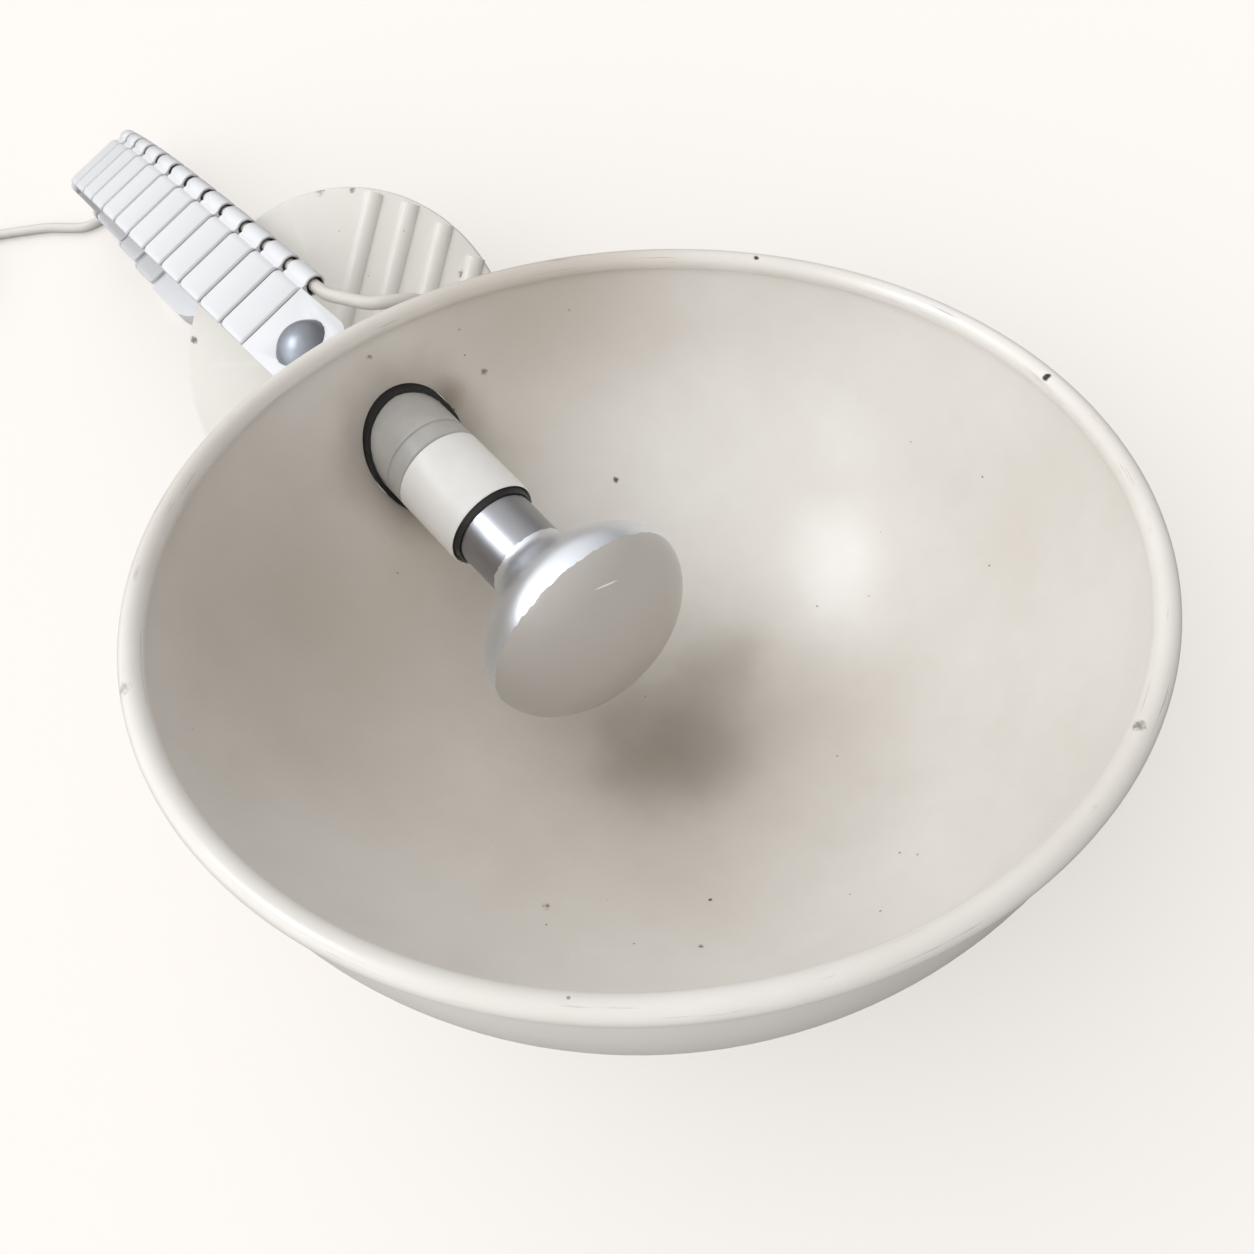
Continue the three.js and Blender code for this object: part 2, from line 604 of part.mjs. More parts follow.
dome.add(piece('bulb_screw_cap', turned([
  [SCREW_CAP_BACK, 0],
  [SCREW_CAP_BACK, SCREW_CAP_R - 3],
  [SCREW_CAP_BACK + 3, SCREW_CAP_R],
  [BULB_GLASS_BACK - GAP, SCREW_CAP_R],
  [BULB_GLASS_BACK - GAP, 0],
], 32), 'bulbCap'));
dome.add(piece('bulb_tip', rod(TIP_R, SCREW_CAP_BACK - 2.3, SCREW_CAP_BACK - GAP, 20), 'brass'));

// Base: a disc with half-round ribs, on a ball joint at the end of the lower plate
const baseNormal = V(Math.tan(rad(BASE_LEAN_X)), Math.tan(rad(BASE_LEAN_Y)), 1).normalize();
const base = new THREE.Group();
base.quaternion.setFromUnitVectors(V(0, 0, 1), baseNormal);
base.position.copy(lowerBall);
lamp.add(base);
{
  const backZ = BASE_STEM_LENGTH;
  const faceZ = backZ + DISC_T;
  const turnRibs = new THREE.Matrix4().makeRotationZ(rad(RIB_TURN));
  const disc = new THREE.LatheGeometry([
    new THREE.Vector2(0, backZ),
    new THREE.Vector2(DISC_R - DISC_EDGE_R, backZ),
    new THREE.Vector2(DISC_R, backZ + DISC_EDGE_R),
    new THREE.Vector2(DISC_R, faceZ - DISC_EDGE_R),
    new THREE.Vector2(DISC_R - DISC_EDGE_R, faceZ),
    new THREE.Vector2(0, faceZ),
  ], 56);
  disc.rotateX(Math.PI / 2);
  let body = solid(disc);
  const inside = solid(post(DISC_R - DISC_EDGE_R, backZ, faceZ + 2 * RIB_RISE, 56));
  for (let i = 0; i < RIB_COUNT; i += 1) {
    const rib = new THREE.CylinderGeometry(RIB_WIDTH / 2, RIB_WIDTH / 2, 2 * DISC_R, 20);
    rib.scale(1, 1, RIB_RISE / (RIB_WIDTH / 2));
    rib.translate(RIB_FIRST + i * RIB_PITCH, 0, faceZ);
    const keep = post(2 * DISC_R, faceZ - DISC_T / 2, faceZ + 2 * RIB_RISE, 16);
    body = body.add(solid(rib).intersect(inside).intersect(solid(keep)));
  }
  const geometry = geometryOf(body);
  geometry.applyMatrix4(turnRibs);
  geometry.translate(BOSS_OFFSET[0], BOSS_OFFSET[1], 0);
  base.add(piece('base_disc', geometry, 'discWhite'));
  const boss = post(BASE_BOSS_R, backZ - GAP - BASE_BOSS_T, backZ - GAP);
  const bore = post(LOWER_STEM_R + GAP, backZ - GAP - BASE_BOSS_T - 1, backZ - GAP - 1, 20);
  base.add(piece('base_boss', geometryOf(solid(boss).subtract(solid(bore))), 'discWhite'));
}
const baseReach = BASE_STEM_LENGTH - 2 * GAP - 1;
lamp.add(ballWithStem('lower_ball', lowerBall, LOWER_BALL_R, LOWER_STEM_R, baseReach, baseNormal));

// Cables

// The centre of a link's cable channel, at a station along the link
function channelPoint(k, station) {
  const s = rad(slopes[k]);
  const out = V(-Math.sin(s), 0, Math.cos(s)).multiplyScalar(KNUCKLE_Z);
  return hinges[k].clone().add(V(-station * Math.cos(s), KNUCKLE_Y, -station * Math.sin(s))).add(out);
}

const nearMouth = channelPoint(0, KNUCKLE_TOP_GAP);
const farMouth = channelPoint(UPPER_LINKS - 1, PITCH - KNUCKLE_TOP_GAP);
{
  const route = [nearMouth];
  for (let k = 0; k < UPPER_LINKS; k += 1) route.push(channelPoint(k, PITCH / 2));
  route.push(farMouth);
  arm.add(piece('arm_cable', tube(route, CABLE_R, CABLE_SIDES, 2 * UPPER_LINKS), 'cable'));
}
{
  const glandMouth = head.localToWorld(V(-GLAND_BACK, GLAND_OUT - 6, 0));
  const glandOut = head.localToWorld(V(-GLAND_BACK, GLAND_OUT + 6, 0));
  const route = [
    channelPoint(0, KNUCKLE_TOP_GAP - GAP),
    V(186, 24.6, 116.8),
    V(197, 28.5, 118),
    V(208, 34, 117.5),
    V(213.5, 41, 115.3),
    V(216, 48.5, 109.5),
    V(216, 53, 101),
    V(213.5, 51, 92),
    V(210.5, 44.5, 87),
    glandOut,
    glandMouth,
  ];
  arm.add(piece('bridge_cable', tube(route, CABLE_R, CABLE_SIDES, 20), 'cable'));
}

// The lead: down behind the fold, out along the floor, a flat coil, and a short tail to the plug
const FLOOR_Z = CABLE_R + 0.2;
const leadRoute = [
  channelPoint(UPPER_LINKS - 1, PITCH - KNUCKLE_TOP_GAP + GAP),
  V(-104.5, 24, 36.8),
  V(-113, 22, 29),
  V(-117.5, 15, 18.5),
  V(-116, 4, 9.5),
  V(-112.5, -8, 4.4),
  V(-112, -20, FLOOR_Z),
  V(-117, -31.5, FLOOR_Z),
  V(-128, -40, FLOOR_Z),
  V(-140.5, -48.4, FLOOR_Z),
  V(-155, -61, FLOOR_Z),
  V(-168.5, -73.5, FLOOR_Z),
];
const leadHeading = V(-0.735, -0.678, 0).normalize();
const COIL_FROM_LAST_POINT = 56;
const coilEntry = leadRoute[leadRoute.length - 1].clone().addScaledVector(leadHeading, COIL_FROM_LAST_POINT);
const coilOuterR = COIL_INNER_R + COIL_TURNS * COIL_STEP;
const coilSide = V(-leadHeading.y, leadHeading.x, 0);
const coilCentre = coilEntry.clone().addScaledVector(coilSide, coilOuterR);
const entryAngle = Math.atan2(-coilSide.y, -coilSide.x);
const straight = 2 * CABLE_R;
leadRoute.push(
  coilEntry.clone().addScaledVector(leadHeading, -COIL_FROM_LAST_POINT / 2),
  coilEntry.clone().addScaledVector(leadHeading, -straight - GAP),
);
arm.add(piece('lead_cord', tube(leadRoute, CABLE_R, CABLE_SIDES, 30), 'cable'));

function coilPoint(turn) {
  const last = 2 * COIL_TURNS + 0.5;
  const into = Math.min(turn, COIL_TURNS);
  const outOf = Math.max(0, turn - COIL_TURNS - 0.5);
  const climb = Math.min(1, Math.max(0, (turn - COIL_TURNS) / 0.5));
  const r = coilOuterR - (into - outOf) * COIL_STEP;
  const a = entryAngle + 2 * Math.PI * Math.min(turn, last);
  return coilCentre.clone().add(V(r * Math.cos(a), r * Math.sin(a), COIL_LAYER * climb));
}
const coilRoute = [coilEntry.clone().addScaledVector(leadHeading, -straight)];
{
  const count = Math.round((2 * COIL_TURNS + 0.5) * COIL_STEPS);
  for (let i = 0; i <= count; i += 1) coilRoute.push(coilPoint(i / COIL_STEPS));
}
const coilEnd = coilRoute[coilRoute.length - 1];
coilRoute.push(coilEnd.clone().addScaledVector(leadHeading, straight));

function leastGap(points, diameter, apart) {
  let least = Infinity;
  for (let i = 0; i < points.length; i += 1) {
    for (let j = i + apart; j < points.length; j += 1) {
      least = Math.min(least, points[i].distanceTo(points[j]) - diameter);
    }
  }
  return least;
}
const coilGap = leastGap(coilRoute, 2 * CABLE_R, COIL_STEPS / 2);
console.log(`coil: least gap to itself ${coilGap.toFixed(2)} mm`);

// One closed tube through all the points, for the coil
function sweep(points, radius, sides) {
  const positions = [];
  const index = [];
  const up = V(0, 0, 1);
  points.forEach((point, i) => {
    const before = points[Math.max(0, i - 1)];
    const after = points[Math.min(points.length - 1, i + 1)];
    const along = after.clone().sub(before).normalize();
    const sideways = new THREE.Vector3().crossVectors(up, along).normalize();
    const above = new THREE.Vector3().crossVectors(along, sideways);
    for (let j = 0; j < sides; j += 1) {
      const a = (j + 0.5) * 2 * Math.PI / sides;
      const at = point.clone()
        .addScaledVector(sideways, radius * Math.cos(a))
        .addScaledVector(above, radius * Math.sin(a));
      positions.push(at.x, at.y, at.z);
    }
  });
  for (let i = 0; i < points.length - 1; i += 1) {
    for (let j = 0; j < sides; j += 1) {
      const a = i * sides + j;
      const b = i * sides + (j + 1) % sides;
      index.push(a, b, b + sides, a, b + sides, a + sides);
    }
  }
  const lastRing = (points.length - 1) * sides;
  for (let j = 1; j < sides - 1; j += 1) {
    index.push(0, j + 1, j, lastRing, lastRing + j, lastRing + j + 1);
  }
  const geometry = new THREE.BufferGeometry();
  geometry.setAttribute('position', new THREE.Float32BufferAttribute(positions, 3));
  geometry.setIndex(index);
  return geometry;
}
arm.add(piece('cord_coil', sweep(coilRoute, CABLE_R, COIL_SIDES), 'cable'));

// Tail and plug, straight on from the coil
const plugAt = coilEnd.clone().addScaledVector(leadHeading, TAIL_LENGTH);
plugAt.z = PLUG_HEIGHT / 2 + 0.05;
arm.add(piece('cord_tail', tube([
  coilEnd.clone().addScaledVector(leadHeading, straight + GAP),
  coilEnd.clone().addScaledVector(leadHeading, 2 * straight),
  plugAt.clone().addScaledVector(leadHeading, -RELIEF_LENGTH - 2),
  plugAt.clone().addScaledVector(leadHeading, -RELIEF_LENGTH / 2),
  plugAt.clone().addScaledVector(leadHeading, -GAP),
], CABLE_R, CABLE_SIDES, 8), 'cable'));
const plug = new THREE.Group();
plug.position.copy(plugAt);
plug.rotation.z = Math.atan2(leadHeading.y, leadHeading.x);
lamp.add(plug);
{
  const plan = new THREE.Shape();
  plan.moveTo(0, -PLUG_REAR_HALF);
  plan.lineTo(PLUG_LENGTH * 0.55, -PLUG_FRONT_HALF + 2);
  plan.lineTo(PLUG_LENGTH, -PLUG_FRONT_HALF);
  plan.lineTo(PLUG_LENGTH, PLUG_FRONT_HALF);
  plan.lineTo(PLUG_LENGTH * 0.55, PLUG_FRONT_HALF - 2);
  plan.lineTo(0, PLUG_REAR_HALF);
  plan.closePath();
  const body = new THREE.ExtrudeGeometry(plan, {
    depth: PLUG_HEIGHT - 2 * PLUG_EDGE,
    bevelSize: PLUG_EDGE,
    bevelThickness: PLUG_EDGE,
    bevelOffset: -PLUG_EDGE,
    bevelSegments: 2,
    curveSegments: 4,
  });
  body.translate(0, 0, PLUG_EDGE - PLUG_HEIGHT / 2);
  plug.add(piece('plug_body', geometryOf(solid(body)), 'cable'));
  const relief = turned([
    [-RELIEF_LENGTH, CABLE_R + GAP],
    [-RELIEF_LENGTH, CABLE_R + 1],
    [-GAP, PLUG_REAR_HALF - 1],
    [-GAP, CABLE_R + GAP + 0.6],
    [-RELIEF_LENGTH, CABLE_R + GAP],
  ], 16);
  plug.add(piece('plug_relief', relief, 'cable'));
  [-1, 1].forEach((side, i) => {
    const pin = rod(PLUG_PIN_R, PLUG_LENGTH + GAP, PLUG_LENGTH + PLUG_PIN_LENGTH, 16);
    pin.translate(0, side * PLUG_PIN_SPACING / 2, 0);
    plug.add(piece(`plug_pin_${i + 1}`, pin, 'bulbCap'));
  });
}

export default lamp;
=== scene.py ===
"""A dome-shaded lamp on a folding arm of hinged links, with a ribbed round base on a ball joint.

Lengths are metres in the lamp's own frame. Sizes in millimetres are multiplied by MM.
"""

import math

import bpy
from mathutils import Matrix, Vector


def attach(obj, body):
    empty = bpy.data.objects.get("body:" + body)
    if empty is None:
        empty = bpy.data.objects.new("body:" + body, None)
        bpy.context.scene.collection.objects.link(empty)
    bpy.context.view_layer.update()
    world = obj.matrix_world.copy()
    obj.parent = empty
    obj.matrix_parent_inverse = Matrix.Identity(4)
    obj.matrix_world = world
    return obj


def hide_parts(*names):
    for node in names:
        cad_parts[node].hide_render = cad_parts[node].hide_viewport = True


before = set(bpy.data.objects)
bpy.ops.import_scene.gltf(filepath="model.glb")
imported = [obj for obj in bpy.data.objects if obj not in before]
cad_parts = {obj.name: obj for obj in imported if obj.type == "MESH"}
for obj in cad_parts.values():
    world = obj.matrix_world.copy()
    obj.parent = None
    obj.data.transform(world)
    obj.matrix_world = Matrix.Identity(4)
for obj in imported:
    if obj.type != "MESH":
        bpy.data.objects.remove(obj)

bl_info = {
    "name": "Hinged-link dome lamp",
    "version": (1, 0, 0),
    "blender": (4, 5, 0),
    "location": "3D View > Sidebar > Lamp",
    "description": "Models and finishes a dome-shaded lamp on a folding arm",
    "category": "Object",
}

MM = 0.001

# Sizes here are millimetres and degrees. Each link's slope, from the end plate to the lower plate
SLOPES = [8.9 + 0.12 * k * k for k in range(1, 12)] + [25, 83, 146, 180, 180]
PITCH = 23.92
HALF_THICK = 4.2
HALF_WIDTH = 18.4
# The links below the tubes widen to one side, up to this much at the last one
WIDENING = 9.5
UPPER_LINKS = 12
LAST_HINGE = Vector((-33, 0, HALF_THICK))
# Where a link's flat faces end before its hinge, and the cable's tube with its gap at both ends
SHOULDER = 5.2
TUBE_RADIUS = 5.5
TUBE_BORE = 4.2
TUBE_GAP = 2.2
TUBE_Y = HALF_WIDTH + TUBE_RADIUS
TUBE_Z = HALF_THICK - TUBE_RADIUS

UPPER_BALL = Vector((204.5, 0, 118.18))
LOWER_BALL = Vector((142.7, 0, 12.9))
BASE_NORMAL = Vector((math.tan(math.radians(23.7)), math.tan(math.radians(-14.7)), 1)).normalized()
# How far below the rim the holder comes through the shade, and how round the shade's side is
HOLE_DEPTH = 54
SHADE_POWER = 2.1
SHADE_LEAN = 10.1
# Stations on the bulb: where its silver starts, its widest place and where the silver ends
SILVER_START = 87.5
WIDEST = 123.5
SILVER_EDGE = 124.6
# How far its front bulges out past the widest place, and its glass
FRONT = 29.4
GLASS = 1.2
# The lead's middle over the floor and the way it heads for the plug
FLOOR_Z = 3.2
LEAD_HEADING = Vector((-0.735, -0.678, 0)).normalized()
# Vertices closer than this are one
MERGE = 0.005 * MM


def hinge_points():
    points = [LAST_HINGE.copy()]
    for slope in reversed(SLOPES):
        s = math.radians(slope)
        points.insert(0, points[0] + Vector((PITCH * math.cos(s), 0, PITCH * math.sin(s))))
    return points


HINGES = hinge_points()


def turn(degrees, axis):
    return Matrix.Rotation(math.radians(degrees), 4, axis)


def scaled_place(point):
    return Matrix.Translation(Vector(point) * MM)


def link_place(k):
    return scaled_place(HINGES[k]) @ turn(-SLOPES[k], "Y")


# The head hangs on the upper ball by a leaning stem, and the shade turns about the holder
STEM_DOWN = Vector((0, math.sin(math.radians(9.9)), -math.cos(math.radians(9.9))))
HEAD_TURN = turn(-2.1, "Z") @ turn(2.9, "Y")
HOLDER_AXIS = (HEAD_TURN @ Vector((1, 0, 0))).normalized()
HEAD_POINT = UPPER_BALL + STEM_DOWN * 33 + HOLDER_AXIS * 45
HEAD = scaled_place(HEAD_POINT) @ HEAD_TURN
DOME = HEAD @ turn(-22.5, "X")


def length_prop(name, text, default):
    return bpy.props.FloatProperty(
        name=name, description=text, default=default, min=0, unit="LENGTH", subtype="DISTANCE"
    )


def colour_prop(name, text, default):
    return bpy.props.FloatVectorProperty(
        name=name, description=text, default=default, size=3, min=0, max=1, subtype="COLOR"
    )


class LampSizes(bpy.types.PropertyGroup):
    """Sizes that change the look of the visible forms."""

    rim_radius: length_prop("Shade rim", "Radius of the shade at its rim", 172 * MM)
    bead_radius: length_prop("Rim bead", "Radius of the rolled bead round the rim", 4.3 * MM)
    shade_depth: length_prop("Shade depth", "Depth of the shade from its rim", 145.9 * MM)
    shade_wall: length_prop("Shade wall", "Thickness of the shade", 1.6 * MM)
    hole_radius: length_prop("Shade hole", "Radius of the hole for the holder", 24 * MM)
    bulb_radius: length_prop("Bulb", "Radius of the bulb's globe", 46.5 * MM)
    bulb_neck: length_prop("Bulb neck", "Radius of the bulb's neck", 18.2 * MM)
    cable_radius: length_prop("Cable", "Radius of the cable", 3 * MM)


class LampColours(bpy.types.PropertyGroup):
    """Colours of the lamp's finishes."""

    arm: colour_prop("Arm", "White plastic of the arm", (0.835, 0.855, 0.89))
    disc: colour_prop("Base", "Warm white paint of the base", (0.85, 0.825, 0.78))
    shade: colour_prop("Shade", "Cream paint of the shade", (0.905, 0.885, 0.85))
    holder: colour_prop("Holder", "Cream sleeve of the bulb holder", (0.93, 0.92, 0.905))
    holder_grey: colour_prop("Holder cup", "Grey cup of the bulb holder", (0.56, 0.55, 0.53))
    cable: colour_prop("Cable", "Off-white sheath of the cable", (0.76, 0.73, 0.68))
    floor: colour_prop("Floor", "Pale floor and backdrop", (0.985, 0.952, 0.92))


def clear_selection():
    if bpy.context.object and bpy.context.object.mode != "OBJECT":
        bpy.ops.object.mode_set(mode="OBJECT")
    bpy.ops.object.select_all(action="DESELECT")


def only(piece):
    clear_selection()
    piece.select_set(True)
    bpy.context.view_layer.objects.active = piece


def trace(name, points):
    """A chain of edges through the points, in edit mode, with all of it selected."""
    clear_selection()
    bpy.ops.mesh.primitive_plane_add(size=MM, location=(0, 0, 0))
    piece = bpy.context.object
    piece.name = name
    piece.data.name = name
    bpy.ops.object.mode_set(mode="EDIT")
    bpy.ops.mesh.select_all(action="SELECT")
    bpy.ops.mesh.merge(type="CENTER")
    here = Vector(points[0]) * MM
    bpy.ops.transform.translate(value=here)
    for point in points[1:]:
        there = Vector(point) * MM
        bpy.ops.mesh.extrude_vertices_move(TRANSFORM_OT_translate={"value": there - here})
        here = there
    bpy.ops.mesh.select_all(action="SELECT")
    return piece


def set_place(piece, place):
    """Puts the piece where it belongs and leaves its object at the origin."""
    only(piece)
    piece.matrix_world = place
    bpy.ops.object.transform_apply(location=True, rotation=True, scale=True)
    return piece


def tidy_faces(piece):
    only(piece)
    bpy.ops.object.mode_set(mode="EDIT")
    bpy.ops.mesh.select_all(action="SELECT")
    bpy.ops.mesh.remove_doubles(threshold=MERGE)
    bpy.ops.mesh.normals_make_consistent(inside=False)
    bpy.ops.object.mode_set(mode="OBJECT")
    return piece


def turned(name, profile, place, steps=64, smooth=40):
    """A profile of (station, radius) turned about X, closed on itself where it leaves the axis."""
    closed = profile[0][1] > 0 and profile[-1][1] > 0
    points = [(s, 0, r) for s, r in profile]
    if closed and profile[0] != profile[-1]:
        points.append(points[0])
    piece = trace(name, points)
    bpy.ops.mesh.spin(steps=steps, angle=2 * math.pi, center=(0, 0, 0), axis=(1, 0, 0))
    piece = tidy_faces(piece)
    set_place(piece, place)
    smooth_by(piece, smooth)
    return piece


def smooth_by(piece, degrees):
    only(piece)
    bpy.ops.object.shade_smooth_by_angle(angle=math.radians(degrees))


def finish_modifier(piece, kind, **settings):
    only(piece)
    modifier = piece.modifiers.new(kind.title(), kind)
    for key, value in settings.items():
        setattr(modifier, key, value)
    bpy.ops.object.modifier_apply(modifier=modifier.name)


def bevel(piece, width, segments, degrees):
    finish_modifier(
        piece, "BEVEL", width=width * MM, segments=segments, limit_method="ANGLE",
        angle_limit=math.radians(degrees), miter_outer="MITER_ARC",
    )


def combine(piece, other, operation):
    finish_modifier(piece, "BOOLEAN", object=other, operation=operation, solver="EXACT")
    bpy.data.objects.remove(other, do_unlink=True)


def cylinder(name, radius, low, high, place, sides=48):
    """A plain round cutter or start, along X from low to high."""
    clear_selection()
    bpy.ops.mesh.primitive_cylinder_add(
        vertices=sides, radius=radius * MM, depth=(high - low) * MM,
        location=((low + high) / 2 * MM, 0, 0), rotation=(0, math.pi / 2, 0),
    )
    piece = bpy.context.object
    piece.name = name
    bpy.ops.object.transform_apply(location=True, rotation=True, scale=True)
    return set_place(piece, place)


def node_copy(name, node):
    """A merged copy of a CAD node, with its flat faces made whole."""
    piece = bpy.data.objects.new(name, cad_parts[node].data.copy())
    bpy.context.scene.collection.objects.link(piece)
    only(piece)
    bpy.ops.object.mode_set(mode="EDIT")
    bpy.ops.mesh.select_all(action="SELECT")
    bpy.ops.mesh.remove_doubles(threshold=MERGE)
    bpy.ops.mesh.dissolve_limited(angle_limit=math.radians(1))
    bpy.ops.object.mode_set(mode="OBJECT")
    return piece


def put_on(piece, finish):
    piece.data.materials.clear()
    piece.data.materials.append(look(finish))


def hand_over(piece, body, finish, slot, *nodes):
    """Gives the piece its finish, puts it on its body and hides the CAD nodes it stands for."""
    put_on(piece, finish)
    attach(piece, body)
    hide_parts(*nodes)


def rounded_copy(name, node, body, finish, slot, width, segments, degrees):
    """A copy of a CAD node with its edges rounded, handed over in its place."""
    piece = node_copy(name, node)
    bevel(piece, width, segments, degrees)
    smooth_by(piece, 35)
    hand_over(piece, body, finish, slot, node)


# Finishes


class Wiring:
    """Adds nodes to one tree. An input takes a value or another node's output."""

    def __init__(self, tree):
        self.nodes, self.links = tree.nodes, tree.links

    def put(self, socket, value):
        if isinstance(value, bpy.types.NodeSocket):
            self.links.new(value, socket)
        else:
            socket.default_value = value

    def add(self, kind, *values, **named):
        """A node. Lower-case names are its settings and come first, the others are its inputs."""
        node = self.nodes.new(kind)
        for key, value in named.items():
            if key.islower():
                setattr(node, key, value)
            else:
                self.put(node.inputs[key.replace("_", " ")], value)
        for socket, value in zip(node.inputs, values):
            self.put(socket, value)
        return node

    def maths(self, operation, *values):
        return self.add("ShaderNodeMath", *values, operation=operation).outputs["Value"]

    def vector(self, operation, *values, **named):
        node = self.add("ShaderNodeVectorMath", *values, operation=operation, **named)
        return node.outputs["Value" if operation in ("DOT_PRODUCT", "DISTANCE") else "Vector"]

    def noise(self, place, scale, detail, **named):
        node = self.add("ShaderNodeTexNoise", Vector=place, Scale=scale, Detail=detail, **named)
        return node.outputs["Fac"]

    def ranged(self, value, low, high, first=0.0, last=1.0, kind="LINEAR"):
        return self.add(
            "ShaderNodeMapRange", interpolation_type=kind, Value=value, From_Min=low, From_Max=high,
            To_Min=first, To_Max=last,
        ).outputs["Result"]


class Finish(Wiring):
    """One material, with colours laid over each other."""

    def __init__(self, name, colour, roughness, metallic=0.0):
        self.material = bpy.data.materials.new(name)
        self.material.use_nodes = True
        super().__init__(self.material.node_tree)
        self.colour = (*colour, 1)
        self.shader = self.nodes["Principled BSDF"]
        self.shader.inputs["Base Color"].default_value = self.colour
        self.shader.inputs["Roughness"].default_value = roughness
        self.shader.inputs["Metallic"].default_value = metallic
        self.place = self.nodes.new("ShaderNodeTexCoord").outputs["Object"]

    def group(self, tree, **values):
        return self.add("ShaderNodeGroup", node_tree=tree, Place=self.place, **values).outputs

    def paint(self, mask, colour, strength=1.0):
        """Lays a colour over what is there, as strongly as the mask says."""
        if strength != 1.0:
            mask = self.maths("MULTIPLY", mask, strength)
        mix = self.add("ShaderNodeMix", data_type="RGBA", Factor=mask, A=self.colour, B=(*colour, 1))
        self.colour = mix.outputs["Result"]
        self.put(self.shader.inputs["Base Color"], self.colour)


def new_group(name, inputs, outputs):
    """A node group with vector or number inputs and number outputs."""
    tree = bpy.data.node_groups.new(name, "ShaderNodeTree")
    for label, default in inputs:
        kind = "NodeSocketVector" if default is None else "NodeSocketFloat"
        socket = tree.interface.new_socket(label, in_out="INPUT", socket_type=kind)
        if default is not None:
            socket.default_value = default
    for label in outputs:
        tree.interface.new_socket(label, in_out="OUTPUT", socket_type="NodeSocketFloat")
    wiring = Wiring(tree)
    return tree, wiring, wiring.add("NodeGroupInput").outputs, wiring.add("NodeGroupOutput").inputs


def patch_group():
    """A soft-edged patch round a point: 1 at its middle, 0 past its radius, uneven at its edge."""
    tree, wiring, given, result = new_group(
        "soft patch",
        [("Place", None), ("Middle", None), ("Radius", 0.02), ("Core", 0.0), ("Raggedness", 0.2), ("Grain", 60.0)],
        ["Mask"],
    )
    distance = wiring.vector("DISTANCE", given["Place"], given["Middle"])
    share = wiring.maths("DIVIDE", distance, given["Radius"])
    uneven = wiring.maths("SUBTRACT", wiring.noise(given["Place"], given["Grain"], 5), 0.5)
    ragged = wiring.maths("MULTIPLY_ADD", uneven, given["Raggedness"], share)
    wiring.put(result["Mask"], wiring.ranged(ragged, given["Core"], 1, 1, 0, "SMOOTHSTEP"))
    return tree


def grime_group():
    """Uneven tone from large clouds and small specks, between 0 and 1."""
    tree, wiring, given, result = new_group(
        "aged tone",
        [("Place", None), ("Cloud size", 12.0), ("Speck size", 900.0), ("Speck share", 0.02)],
        ["Clouds", "Specks"],
    )
    clouds = wiring.noise(given["Place"], given["Cloud size"], 6, Roughness=0.6)
    wiring.put(result["Clouds"], wiring.ranged(clouds, 0.35, 0.68))
    cells = wiring.add("ShaderNodeTexVoronoi", Vector=given["Place"], Scale=given["Speck size"]).outputs
    lot = wiring.add("ShaderNodeSeparateColor", Color=cells["Color"]).outputs["Red"]
    chosen = wiring.maths("LESS_THAN", lot, given["Speck share"])
    close = wiring.maths("LESS_THAN", cells["Distance"], 0.3)
    wiring.put(result["Specks"], wiring.maths("MULTIPLY", chosen, close))
    return tree
